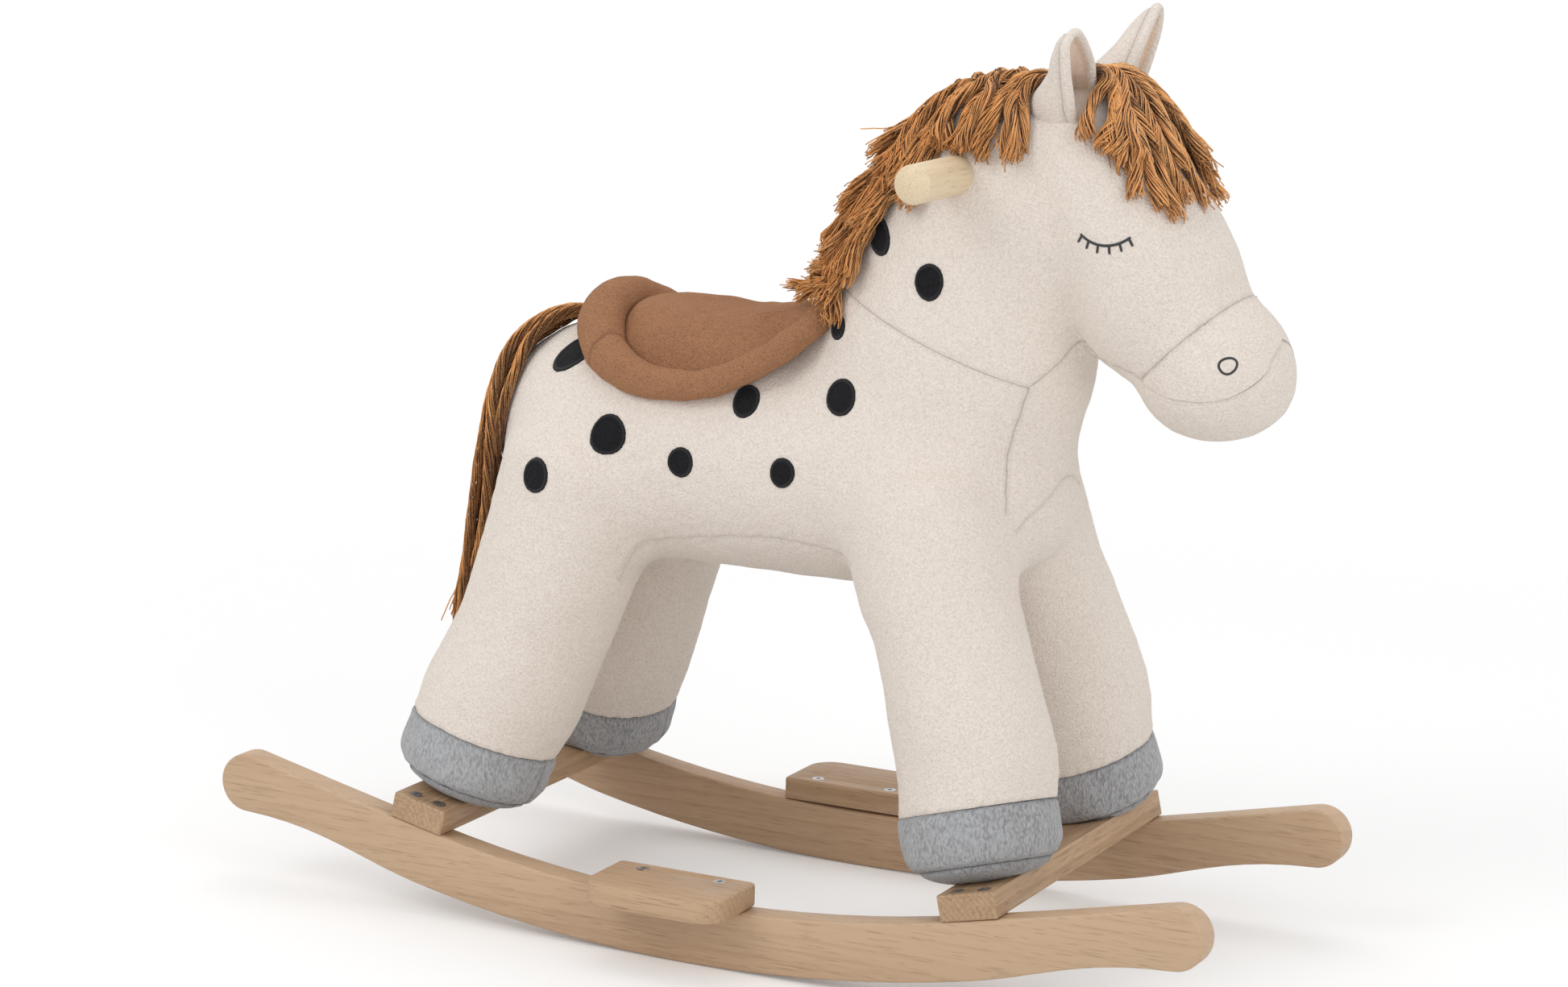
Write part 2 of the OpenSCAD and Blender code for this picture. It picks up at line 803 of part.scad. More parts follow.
module saddle_roll() {
    color(brown_plush) render() difference() {
        roll(0);
        skin(-gap);
    }
}

// The seat fills the ring of the roll and follows the trunk's back
module saddle_space(grow) {
    intersection() {
        trunk(-saddle_thick - grow);
        translate([saddle_x, 0, trunk_z]) scale([(saddle_length + 2 * grow) / (saddle_width + 2 * grow), 1, 1])
            cylinder(d = saddle_width + 2 * grow, h = far, $fn = fabric_fn);
    }
}

module saddle_seat() {
    color(brown_plush) render() difference() {
        saddle_space(0);
        skin(-gap);
        roll(gap);
    }
}

// ---- Mane, forelock and tail ---------------------------------------------------------------

// The mane lies on the crest, above a slanting line, and ends behind the ears
mane_line = [84, 446];
mane_slope = 37;
mane_front = 186;

module mane_space() {
    intersection() {
        neck(-mane_thick);
        translate([mane_line[0], 0, mane_line[1]]) rotate([0, -mane_slope, 0])
            translate([-far, -far, 0]) cube(2 * far);
        translate([mane_front - far, -far, 0]) cube([far, 2 * far, far]);
    }
}

module mane() {
    color(yarn) render() difference() {
        mane_space();
        skin(-gap);
        roll(gap);
        saddle_space(gap);
        handle_place() cylinder(d = handle_d + 2 * gap, h = handle_length + 2, center = true, $fn = fabric_fn);
        for (side = [-1, 1]) ear_space(side);
    }
}

// The forelock hangs forward from between the ears over the forehead
forelock_half = 44;
forelock_end = 488;

module forelock() {
    color(yarn) render() difference() {
        intersection() {
            union() {
                head(-forelock_thick);
                neck(-forelock_thick);
            }
            translate([mane_front + gap, -forelock_half, forelock_end]) cube([far, 2 * forelock_half, far]);
        }
        skin(-gap);
        for (side = [-1, 1]) ear_space(side);
    }
}

// Line of the tail from its root behind the saddle to its tip: [x, y, z, thickness]
tail_line = [
    [-153, -2, 397, 0.45], [-168, -14, 390, 0.7], [-182, -33, 371, 0.85], [-189, -47, 341, 0.85],
    [-193, -54, 307, 0.85], [-197, -57, 274, 0.85], [-203, -58, 241, 0.8], [-211, -58, 207, 0.65],
    [-220, -55, 176, 0.5], [-225, -52, 160, 0.4]];

module tail() {
    color(yarn) render() difference() {
        for (i = [0:len(tail_line) - 2]) hull() for (p = [tail_line[i], tail_line[i + 1]])
            translate([p[0], p[1], p[2]]) scale([0.75, 1, 0.75]) sphere(d = tail_d * p[3], $fn = 12);
        skin(-trim_rise - gap);
        leg_shape(-1, -1, -2 * gap);
        roll(2 * gap);
    }
}

// ---- Spots and stitches --------------------------------------------------------------------

// Spots on each flank: [x, z, width, height, turn, direction of its face behind straight sideways]
spots_at = [
    [126, 438, 20, 24, -15, 0], [65, 403, 13, 17, 0, 0], [72, 362, 22, 24, 0, 0], [7, 353, 19, 20, 0, 0],
    [-85, 324, 26, 26, 0, 0], [-32, 312, 19, 20, 0, 0], [40, 313, 18, 20, 0, 0], [-138, 296, 20, 24, 0, 0],
    [-75, 369, 24, 28, 30, 35], [-48, 339, 24, 28, 0, 62]];

// The cutter of a spot begins this far out from the middle, so that it meets one flank only
spot_start = 40;

// Trunk, neck, head and hind legs, drawn in by inset
module flanks(inset) {
    skin(inset);
    for (side = [-1, 1]) leg_shape(-1, side, inset);
}

module spots() {
    color(spot_plush) render() difference() {
        intersection() {
            difference() {
                flanks(-trim_rise);
                flanks(-gap / 3);
            }
            for (side = [-1, 1], s = spots_at) rotate([0, 0, side * s[5]]) translate([s[0], 0, s[1]])
                rotate([-side * 90, 0, 0]) rotate(s[4]) scale([s[2] / 2, s[3] / 2, 1])
                    translate([0, 0, spot_start]) cylinder(r = 1, h = far, $fn = 16);
        }
        roll(gap);
        mane_space();
    }
}

// Middle of an eye's arc on the side of the head, its radius, and half its opening
eye_at = [237, 492];
eye_r = 23;
eye_half_angle = 44;
stitch_width = 2;
lash_length = 7;
nostril_at = [313, 400.5];
nostril_r = 5;

// A thin raised shape on both sides of the head
module stitched(place) {
    color(thread) render() intersection() {
        difference() {
            head(-trim_rise);
            head(-gap / 3);
        }
        translate([place[0], 0, place[1]]) rotate([90, 0, 0]) linear_extrude(2 * far, center = true)
            children();
    }
}

module eye_stitches() {
    stitched(eye_at) {
        intersection() {
            difference() {
                circle(r = eye_r, $fn = 40);
                circle(r = eye_r - stitch_width, $fn = 40);
            }
            polygon([[0, 0], 2 * eye_r * [-sin(eye_half_angle), -cos(eye_half_angle)], [0, -3 * eye_r],
                2 * eye_r * [sin(eye_half_angle), -cos(eye_half_angle)]]);
        }
        for (i = [-2.5:1:2.5]) rotate(i * 2 * eye_half_angle / 5.4)
            translate([-stitch_width / 2, -eye_r - lash_length + 1]) square([stitch_width, lash_length]);
    }
}

module nostril_stitches() {
    stitched(nostril_at) difference() {
        circle(r = nostril_r, $fn = 20);
        circle(r = nostril_r - stitch_width, $fn = 20);
    }
}

// ---- The whole horse -----------------------------------------------------------------------

rocker(-1);  // rocker_right
rocker(1);  // rocker_left
slat(1);  // front_slat
slat(-1);  // rear_slat
footrest(-1);  // footrest_right
footrest(1);  // footrest_left
slat_screws();
footrest_screws();
leg_bolts();
bolt_washers();
barrel_nuts();
seat_board();
leg_post(1, -1);  // leg_post_front_right
leg_post(1, 1);  // leg_post_front_left
leg_post(-1, -1);  // leg_post_rear_right
leg_post(-1, 1);  // leg_post_rear_left
post_screws();
neck_board();
neck_board_screws();
handle_dowel();
handle_pin();
body_cover();
head_cover();
muzzle_cover();
leg_cover(1, -1);  // leg_cover_front_right
leg_cover(1, 1);  // leg_cover_front_left
leg_cover(-1, -1);  // leg_cover_rear_right
leg_cover(-1, 1);  // leg_cover_rear_left
hoof(1, -1);  // hoof_front_right
hoof(1, 1);  // hoof_front_left
hoof(-1, -1);  // hoof_rear_right
hoof(-1, 1);  // hoof_rear_left
sole(1, -1);  // sole_front_right
sole(1, 1);  // sole_front_left
sole(-1, -1);  // sole_rear_right
sole(-1, 1);  // sole_rear_left
body_filling();
head_filling();
leg_filling(1, -1);  // leg_filling_front_right
leg_filling(1, 1);  // leg_filling_front_left
leg_filling(-1, -1);  // leg_filling_rear_right
leg_filling(-1, 1);  // leg_filling_rear_left
ear(-1);  // ear_right
ear(1);  // ear_left
saddle_seat();
saddle_roll();
mane();
forelock();
tail();
spots();
eye_stitches();
nostril_stitches();
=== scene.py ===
import json
import math

import bmesh
import bpy
import numpy as np
from mathutils import Matrix, Vector
from mathutils.bvhtree import BVHTree


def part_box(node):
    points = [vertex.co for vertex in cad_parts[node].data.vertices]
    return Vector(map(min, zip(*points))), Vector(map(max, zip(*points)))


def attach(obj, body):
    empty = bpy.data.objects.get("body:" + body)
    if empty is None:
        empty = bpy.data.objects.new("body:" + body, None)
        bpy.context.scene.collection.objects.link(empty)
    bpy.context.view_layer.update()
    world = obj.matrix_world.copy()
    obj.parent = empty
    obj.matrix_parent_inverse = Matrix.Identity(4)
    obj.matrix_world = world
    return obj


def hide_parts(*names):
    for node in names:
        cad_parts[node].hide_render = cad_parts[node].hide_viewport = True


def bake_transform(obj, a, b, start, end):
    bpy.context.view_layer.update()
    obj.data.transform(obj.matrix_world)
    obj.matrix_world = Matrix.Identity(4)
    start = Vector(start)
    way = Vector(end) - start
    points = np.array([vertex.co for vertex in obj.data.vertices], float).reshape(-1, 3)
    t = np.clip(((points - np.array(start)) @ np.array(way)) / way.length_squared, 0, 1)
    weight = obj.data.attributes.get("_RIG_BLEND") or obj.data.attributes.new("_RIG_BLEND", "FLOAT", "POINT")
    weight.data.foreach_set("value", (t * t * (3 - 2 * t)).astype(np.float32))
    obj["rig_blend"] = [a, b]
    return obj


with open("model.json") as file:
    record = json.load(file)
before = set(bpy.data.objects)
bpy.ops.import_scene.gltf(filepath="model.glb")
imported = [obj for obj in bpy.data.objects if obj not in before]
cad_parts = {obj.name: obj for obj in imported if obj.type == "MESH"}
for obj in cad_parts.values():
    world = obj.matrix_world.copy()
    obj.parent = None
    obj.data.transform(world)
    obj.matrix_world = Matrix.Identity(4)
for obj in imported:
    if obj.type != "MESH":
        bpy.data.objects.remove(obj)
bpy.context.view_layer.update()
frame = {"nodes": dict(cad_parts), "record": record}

# ---- Camera, lamps and floor ----------------------------------------------------------------
# A camera a little above the horse's right shoulder, two large soft lamps, an even white room
# light, and a plain pale floor that keeps the horse's shadow.

aim = np.array([-0.00264, 0.0, 0.2802])
camera_distance = 2.6115
azimuth, elevation, roll = (math.radians(v) for v in (26.547, 11.393, 1.412))
back = np.array([math.sin(azimuth) * math.cos(elevation),
                 -math.cos(azimuth) * math.cos(elevation), math.sin(elevation)])
level_right = np.array([math.cos(azimuth), math.sin(azimuth), 0.0])
level_up = np.cross(back, level_right)
right = math.cos(roll) * level_right + math.sin(roll) * level_up
up = math.cos(roll) * level_up - math.sin(roll) * level_right
eye = aim + camera_distance * back

lens = bpy.data.cameras.new("camera")
lens.sensor_fit = "HORIZONTAL"
lens.sensor_width = 36.0
lens.lens = 92.32
camera = bpy.data.objects.new("camera", lens)
bpy.context.scene.collection.objects.link(camera)
camera.matrix_world = Matrix([[right[i], up[i], back[i], eye[i]] for i in range(3)] + [[0, 0, 0, 1]])
bpy.context.scene.camera = camera
bpy.context.scene.view_settings.view_transform = "Standard"


def lamp(name, place, watts, size):
    """A square lamp of that size at that place, turned so that it faces the horse."""
    light = bpy.data.lights.new(name, "AREA")
    light.energy = watts
    light.size = size
    holder = bpy.data.objects.new(name, light)
    bpy.context.scene.collection.objects.link(holder)
    place = Vector(place)
    facing = (Vector((0.0, 0.0, 0.3)) - place).to_track_quat("-Z", "Y")
    holder.matrix_world = Matrix.Translation(place) @ facing.to_matrix().to_4x4()


lamp("window_left", (-1.5, -2.6, 2.6), 27.0, 1.6)
lamp("window_right", (2.8, -1.6, 1.7), 18.5, 1.8)
lamp("ceiling", (-0.2, 0.6, 3.2), 14.0, 2.4)


def put(tree, kind, inputs=None, **settings):
    """Adds a shader node, sets its properties, and fills its inputs with values or with other nodes'
    outputs."""
    made = tree.nodes.new(kind)
    for key, value in settings.items():
        setattr(made, key, value)
    for key, value in (inputs or {}).items():
        if isinstance(value, bpy.types.NodeSocket):
            tree.links.new(value, made.inputs[key])
        else:
            made.inputs[key].default_value = value
    return made


def sum_of(tree, kind, first, second, clamp=False):
    """One arithmetic step on two numbers or outputs, such as MULTIPLY or ADD."""
    return put(tree, "ShaderNodeMath", {0: first, 1: second}, operation=kind, use_clamp=clamp).outputs[0]


room = bpy.data.worlds.new("room")
bpy.context.scene.world = room
room.use_nodes = True
sky = room.node_tree
sky.nodes.clear()
rays = put(sky, "ShaderNodeLightPath").outputs
seen = sum_of(sky, "MAXIMUM", rays["Is Camera Ray"], sum_of(sky, "MAXIMUM", rays["Is Glossy Ray"],
                                                          rays["Is Transmission Ray"]))
level = put(sky, "ShaderNodeMapRange", {"Value": seen, "To Min": 0.75, "To Max": 1.0}).outputs[0]
glow = put(sky, "ShaderNodeBackground", {"Color": (1.0, 1.0, 1.0, 1.0), "Strength": level}).outputs[0]
put(sky, "ShaderNodeOutputWorld", {"Surface": glow})

floor_mesh = bpy.data.meshes.new("floor")
reach = 30.0
floor_mesh.from_pydata([(-reach, -reach, 0), (reach, -reach, 0), (reach, reach, 0), (-reach, reach, 0)],
                       [], [(0, 1, 2, 3)])
floor = bpy.data.objects.new("floor", floor_mesh)
bpy.context.scene.collection.objects.link(floor)
floor_paint = bpy.data.materials.new("floor_paint")
floor_paint.use_nodes = True
paint = floor_paint.node_tree
paint.nodes.clear()
seen = put(paint, "ShaderNodeLightPath").outputs["Is Camera Ray"]
coords = put(paint, "ShaderNodeTexCoord").outputs["Object"]
out_from = put(paint, "ShaderNodeVectorMath", {0: coords}, operation="LENGTH").outputs["Value"]
far_off = put(paint, "ShaderNodeMapRange", {"Value": out_from, "From Min": 0.55, "From Max": 1.5},
              interpolation_type="SMOOTHSTEP").outputs[0]
matt = put(paint, "ShaderNodeBsdfDiffuse", {"Color": (0.86, 0.86, 0.86, 1.0)}).outputs[0]
lift = put(paint, "ShaderNodeEmission", {"Strength": sum_of(paint, "MULTIPLY", seen, 0.16)}).outputs[0]
near_floor = put(paint, "ShaderNodeAddShader", {0: matt, 1: lift}).outputs[0]
white = put(paint, "ShaderNodeEmission", {"Strength": 1.0}).outputs[0]
put(paint, "ShaderNodeOutputMaterial",
    {"Surface": put(paint, "ShaderNodeMixShader", {0: sum_of(paint, "MULTIPLY", far_off, seen), 1: near_floor,
                                                   2: white}).outputs[0]})
floor_mesh.materials.append(floor_paint)

# ---- Rockers, slats and footrests -----------------------------------------------------------
# Two curved boards on edge, two slats across them and a footrest outside each one: sawn and
# sanded hardwood with eased edges, thinly oiled, held by countersunk screws.


def new_material(name, **sockets):
    """A material with one Principled shader; plain numbers and colours go straight on its sockets."""
    material = bpy.data.materials.new(name)
    material.use_nodes = True
    tree = material.node_tree
    shader = tree.nodes["Principled BSDF"]
    for key, value in sockets.items():
        shader.inputs[key.replace("_", " ")].default_value = value
    return material, tree, shader


def place_of(tree, move=(0, 0, 0), scale=(1, 1, 1)):
    """Object coordinates after a move and a stretch."""
    coords = put(tree, "ShaderNodeTexCoord").outputs["Object"]
    return put(tree, "ShaderNodeMapping", {"Vector": coords, "Location": move, "Scale": scale}).outputs[0]


def noise(tree, vector, scale, detail=3.0, rough=0.5):
    """Blender's noise between about 0.2 and 0.8 on a vector."""
    return put(tree, "ShaderNodeTexNoise", {"Vector": vector, "Scale": scale, "Detail": detail,
                                            "Roughness": rough}).outputs[0]


def between(tree, value, low, high, to_low=0.0, to_high=1.0):
    """Stretches the band from low to high onto the band from to_low to to_high, and clips it there."""
    return put(tree, "ShaderNodeMapRange", {"Value": value, "From Min": low, "From Max": high,
                                            "To Min": to_low, "To Max": to_high}).outputs[0]


def blend_colours(tree, amount, first, second):
    """Two colours mixed by an amount, as plain colours or outputs."""
    inputs = {0: amount}
    for key, colour in ((6, first), (7, second)):
        inputs[key] = colour if isinstance(colour, bpy.types.NodeSocket) else (*colour, 1.0)
    return put(tree, "ShaderNodeMix", inputs, data_type="RGBA").outputs[2]


def bump(tree, height, depth, strength):
    """A bump of that depth in metres."""
    return put(tree, "ShaderNodeBump", {"Height": height, "Distance": depth, "Strength": strength}).outputs[0]


def wood(name, pale, dark, pith, ring=0.007, long_axis=0, seed=0.0, gloss=0.5, contrast=0.6):
    """Solid wood: yearly rings round a pith line that runs along the board, bent by a slow noise that is
    stretched along the grain, with pores as short dark dashes and a slow change of tone."""
    material, tree, shader = new_material(name, Roughness=gloss)
    stretch = [1.0, 1.0, 1.0]
    stretch[long_axis] = 0.06
    centred = place_of(tree, move=[-p for p in pith])
    grain = put(tree, "ShaderNodeVectorMath", {0: centred, 1: stretch}, operation="MULTIPLY").outputs[0]
    shifted = put(tree, "ShaderNodeVectorMath", {0: grain, 1: (seed, seed, seed)}, operation="ADD").outputs[0]
    sway = noise(tree, shifted, 26.0, 2.0)
    flat = [1.0, 1.0, 1.0]
    flat[long_axis] = 0.0
    across = put(tree, "ShaderNodeVectorMath", {0: centred, 1: flat}, operation="MULTIPLY").outputs[0]
    radius = put(tree, "ShaderNodeVectorMath", {0: across}, operation="LENGTH").outputs["Value"]
    bent = sum_of(tree, "ADD", radius, sum_of(tree, "MULTIPLY", sway, 0.016))
    rings = sum_of(tree, "FRACT", sum_of(tree, "DIVIDE", bent, ring), 0.0)
    late = sum_of(tree, "POWER", rings, 3.0)
    fine = noise(tree, shifted, 420.0, 4.0, 0.65)
    pores = between(tree, noise(tree, shifted, 900.0, 1.0), 0.60, 0.70)
    tone = noise(tree, shifted, 9.0, 2.0)
    amount = sum_of(tree, "ADD", sum_of(tree, "MULTIPLY", late, 0.45 * contrast),
                    sum_of(tree, "MULTIPLY", between(tree, fine, 0.35, 0.7), 0.55 * contrast))
    amount = sum_of(tree, "ADD", amount, between(tree, tone, 0.35, 0.65, -0.22, 0.22), clamp=True)
    colour = blend_colours(tree, amount, pale, dark)
    colour = blend_colours(tree, sum_of(tree, "MULTIPLY", pores, 0.5 * contrast), colour,
                           [0.45 * c for c in dark])
    tree.links.new(colour, shader.inputs["Base Color"])
    relief = sum_of(tree, "SUBTRACT", sum_of(tree, "MULTIPLY", fine, 0.6), pores)
    tree.links.new(bump(tree, relief, 0.00012, 0.5), shader.inputs["Normal"])
    return material


def eased(node, name, ease, steps, material, body="horse", least=35.0, keep_off=()):
    """A copy of a board with its long outer edges rounded by the given radius. An edge is rounded where its
    two faces turn by more than the least angle and it lies clear of every point in keep_off."""
    source = frame["nodes"][node]
    shape = bmesh.new()
    shape.from_mesh(source.data)
    bmesh.ops.remove_doubles(shape, verts=shape.verts, dist=2e-6)
    bmesh.ops.dissolve_limit(shape, angle_limit=math.radians(0.4), verts=shape.verts, edges=shape.edges)
    chosen = []
    for edge in shape.edges:
        if len(edge.link_faces) != 2 or edge.calc_face_angle(0.0) < math.radians(least):
            continue
        middle = (edge.verts[0].co + edge.verts[1].co) / 2
        if all((middle - Vector(p)).length > r for p, r in keep_off):
            chosen.append(edge)
    bmesh.ops.bevel(shape, geom=chosen, offset=ease, offset_type="OFFSET", segments=steps, profile=0.5,
                    affect="EDGES", clamp_overlap=False)
    bmesh.ops.triangulate(shape, faces=[f for f in shape.faces if len(f.verts) > 4])
    mesh = bpy.data.meshes.new(name)
    shape.to_mesh(mesh)
    shape.free()
    mesh.materials.append(material)
    mesh.shade_smooth()
    mesh.set_sharp_from_angle(angle=math.radians(25))
    board = bpy.data.objects.new(name, mesh)
    bpy.context.scene.collection.objects.link(board)
    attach(board, body)
    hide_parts(node)
    return board


slot_of = {entry["node"]: entry["material_slot"] for entry in frame["record"]["subparts"]}
beech_pale, beech_dark = (0.57, 0.395, 0.252), (0.36, 0.21, 0.115)
brown_pale, brown_dark = (0.54, 0.365, 0.225), (0.31, 0.18, 0.09)


def screw_points(screws):
    """The middle of each screw of a node, as the middle of its separate solid."""
    shape = bmesh.new()
    shape.from_mesh(frame["nodes"][screws].data)
    bmesh.ops.remove_doubles(shape, verts=shape.verts, dist=2e-6)
    found, todo = [], set(shape.verts)
    while todo:
        group, front = set(), [todo.pop()]
        while front:
            vert = front.pop()
            group.add(vert)
            for edge in vert.link_edges:
                other = edge.other_vert(vert)
                if other in todo:
                    todo.discard(other)
                    front.append(other)
        tops = sorted(group, key=lambda v: -v.co.z)[:12]
        found.append(sum((v.co for v in tops), Vector()) / len(tops))
    shape.free()
    return found


slat_screw_tops = screw_points("slat_screws")
foot_screw_tops = screw_points("footrest_screws")
slat_bolts = [Vector((x, y, 0.04)) for x in (-0.189, 0.189) for y in (-0.089, 0.089)]
clear_of = [(p, 0.0062) for p in slat_screw_tops + foot_screw_tops]
for side in ("right", "left"):
    y = -0.1255 if side == "right" else 0.1255
    holes = [(Vector((p.x, p.y, p.z - d)), 0.007) for p in slat_screw_tops + foot_screw_tops
             for d in (0.012, 0.017, 0.022, 0.03, 0.04)]
    rocker_grain = wood("rocker_grain_" + side, beech_pale, beech_dark, (0, y - 0.035, -0.03),
                        ring=0.0085, seed=1.3 if side == "right" else 6.1, contrast=0.5)
    eased("rocker_" + side, "rocker_board_" + side, 0.0024, 3, rocker_grain, keep_off=holes)
for node, pith, seed in (("front_slat", (0.16, 0, 0.03), 2.2), ("rear_slat", (-0.215, 0, 0.06), 8.4)):
    slat_grain = wood(node + "_grain", brown_pale, brown_dark, pith, ring=0.0035, long_axis=1, seed=seed,
                      contrast=0.8)
    eased(node, node + "_board", 0.0010, 2, slat_grain, keep_off=clear_of + [(p, 0.03) for p in slat_bolts])
for node, seed in (("footrest_right", 4.4), ("footrest_left", 9.7)):
    y = -0.20 if node == "footrest_right" else 0.20
    foot_grain = wood(node + "_grain", brown_pale, brown_dark, (0, y, 0.02), ring=0.0045, seed=seed,
                      contrast=0.7)
    eased(node, node + "_board", 0.0018, 3, foot_grain, keep_off=clear_of)

# ---- Screws, bolts and nuts -----------------------------------------------------------------
# Zinc-plated steel: cross-head wood screws flush with the wood, and four bolts with washers and
# barrel nuts that draw the legs down on the slats.

zinc, tree, shader = new_material("zinc", Metallic=1.0)
scratch = noise(tree, place_of(tree), 900.0, 3.0)
patina = noise(tree, place_of(tree), 160.0, 2.0)
tree.links.new(blend_colours(tree, between(tree, patina, 0.35, 0.65), (0.62, 0.61, 0.58), (0.42, 0.41, 0.40)),
               shader.inputs["Base Color"])
tree.links.new(between(tree, scratch, 0.3, 0.7, 0.28, 0.5), shader.inputs["Roughness"])
tree.links.new(bump(tree, scratch, 0.00004, 0.6), shader.inputs["Normal"])
for node in ("slat_screws", "footrest_screws", "leg_bolts", "bolt_washers", "barrel_nuts", "post_screws",
             "neck_board_screws", "handle_pin"):
    for slot in frame["nodes"][node].material_slots:
        slot.material = zinc

# ---- Inner frame ----------------------------------------------------------------------------
# Four posts, the seat board and the upright neck board: plain sawn softwood inside the stuffing.

for node, axis in (("seat_board", 0), ("neck_board", 2), ("leg_post_front_right", 2),
                   ("leg_post_front_left", 2), ("leg_post_rear_right", 2), ("leg_post_rear_left", 2)):
    low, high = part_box(node)
    pith = [(low[i] + high[i]) / 2 + 0.02 for i in range(3)]
    sawn = wood(node + "_grain", (0.72, 0.56, 0.37), (0.52, 0.35, 0.19), pith, ring=0.004, long_axis=axis,
                seed=3.0 + axis, gloss=0.65)
    for slot in frame["nodes"][node].material_slots:
        slot.material = sawn

# ---- Hand dowel -----------------------------------------------------------------------------
# A turned pale dowel through the neck, domed and sanded at both ends, where its end grain shows.

dowel_grain = wood("dowel_grain", (0.80, 0.66, 0.46), (0.64, 0.47, 0.28), (0.125, 0, 0.49), ring=0.0028,
                   long_axis=1, seed=5.5, gloss=0.42, contrast=0.55)
dowel = eased("handle_dowel", "hand_dowel", 0.0006, 2, dowel_grain, least=50.0)
middle = (np.array(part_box("handle_dowel")) * [1, 0, 1]).mean(0)
for vertex in dowel.data.vertices:
    out_of = np.array(vertex.co) * [1, 0, 1] - middle
    if abs(vertex.co.y) < 0.080 and np.linalg.norm(out_of) > 0.009:
        place = middle + out_of * 0.01225 / np.linalg.norm(out_of)
        vertex.co = (place[0], vertex.co.y, place[2])

# ---- Stuffed body, head and muzzle ----------------------------------------------------------
# Short cream fleece over firm wadding: one rounded trunk that runs into four stout legs, the neck
# and the head. Sewn from separate panels, so a fine sunk seam shows wherever two of them meet.

MM = 0.001


def curve_through(rows, count):
    """A smooth curve through rows of numbers (Catmull-Rom), read at evenly spaced steps."""
    rows = np.asarray(rows, float)
    step = np.linspace(0, len(rows) - 1, count)
    i = np.minimum(step.astype(int), len(rows) - 2)
    f = (step - i)[:, None]
    a, b, c, d = rows[np.maximum(i - 1, 0)], rows[i], rows[i + 1], rows[np.minimum(i + 2, len(rows) - 1)]
    return 0.5 * (2 * b + (c - a) * f + (2 * a - 5 * b + 4 * c - d) * f ** 2 + (3 * b - a - 3 * c + d) * f ** 3)


def rings_round(middles, first, second, around):
    """Closed rings: middle + cos(angle) * first + sin(angle) * second, for angles all the way round."""
    angle = np.linspace(0, 2 * math.pi, around, endpoint=False)[None, :, None]
    return middles[:, None, :] + np.cos(angle) * first[:, None, :] + np.sin(angle) * second[:, None, :]


def closed_skin(rings):
    """Points and faces of a row of rings, with a fan over each end."""
    rows, around, _ = rings.shape
    points = np.vstack([rings.reshape(-1, 3), rings[0].mean(0), rings[-1].mean(0)])
    i, j = np.meshgrid(np.arange(rows - 1), np.arange(around), indexing="ij")
    k = (j + 1) % around
    sides = np.stack([i * around + j, i * around + k, (i + 1) * around + k, (i + 1) * around + j], -1)
    j = np.arange(around)
    k = (j + 1) % around
    low = np.stack([k, j, np.full(around, rows * around)], -1)
    last = (rows - 1) * around
    high = np.stack([last + j, last + k, np.full(around, rows * around + 1)], -1)
    return points, sides.reshape(-1, 4).tolist() + low.tolist() + high.tolist()


def mesh_of(name, points, faces, outward=True):
    """A mesh in metres from points in millimetres, with its faces turned outwards."""
    mesh = bpy.data.meshes.new(name)
    mesh.from_pydata((np.asarray(points) * MM).tolist(), [], faces)
    if outward:
        shape = bmesh.new()
        shape.from_mesh(mesh)
        bmesh.ops.recalc_face_normals(shape, faces=shape.faces)
        shape.to_mesh(mesh)
        shape.free()
    return mesh


def add_piece(name, mesh, material, replaced=(), body="horse", sharp=60):
    """Puts a finished mesh into the scene as a piece that rides on its body; one that bends has none yet."""
    if material is not None:
        mesh.materials.clear()
        mesh.materials.append(material)
    mesh.shade_smooth()
    if sharp is not None:
        mesh.set_sharp_from_angle(angle=math.radians(sharp))
    made = bpy.data.objects.new(name, mesh)
    bpy.context.scene.collection.objects.link(made)
    if body is not None:
        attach(made, body)
    if replaced:
        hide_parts(*replaced)
    return made


def keep(mesh, key, values):
    """Stores one number at each point of a mesh, as an attribute that its material reads."""
    mesh.attributes.new(key, "FLOAT", "POINT").data.foreach_set("value", np.asarray(values, np.float32))


def with_modifiers(mesh, *modifiers):
    """The mesh after a list of (kind, settings) modifiers has been applied to it."""
    holder = bpy.data.objects.new("holder", mesh)
    bpy.context.scene.collection.objects.link(holder)
    for kind, settings in modifiers:
        modifier = holder.modifiers.new(kind, kind)
        for key, value in settings.items():
            setattr(modifier, key, value)
    graph = bpy.context.evaluated_depsgraph_get()
    made = bpy.data.meshes.new_from_object(holder.evaluated_get(graph))
    bpy.data.objects.remove(holder)
    return made


def points_of(mesh):
    """The mesh's points in millimetres, as rows."""
    out = np.empty(len(mesh.vertices) * 3)
    mesh.vertices.foreach_get("co", out)
    return out.reshape(-1, 3) / MM


def set_points(mesh, points):
    """Moves the mesh's points to these rows, given in millimetres."""
    mesh.vertices.foreach_set("co", (points * MM).ravel())
    mesh.update()


def normals_of(mesh):
    """The outward direction at each point of the mesh."""
    out = np.empty(len(mesh.vertices) * 3)
    mesh.vertex_normals.foreach_get("vector", out)
    return out.reshape(-1, 3)


def neighbour_mean(points, edges, count):
    """For each point, the mean of the points that its edges lead to."""
    total = np.empty_like(points)
    for axis in range(3):
        total[:, axis] = (np.bincount(edges[:, 0], points[edges[:, 1], axis], count)
                          + np.bincount(edges[:, 1], points[edges[:, 0], axis], count))
    degree = np.bincount(edges.ravel(), minlength=count)
    return total / degree[:, None]


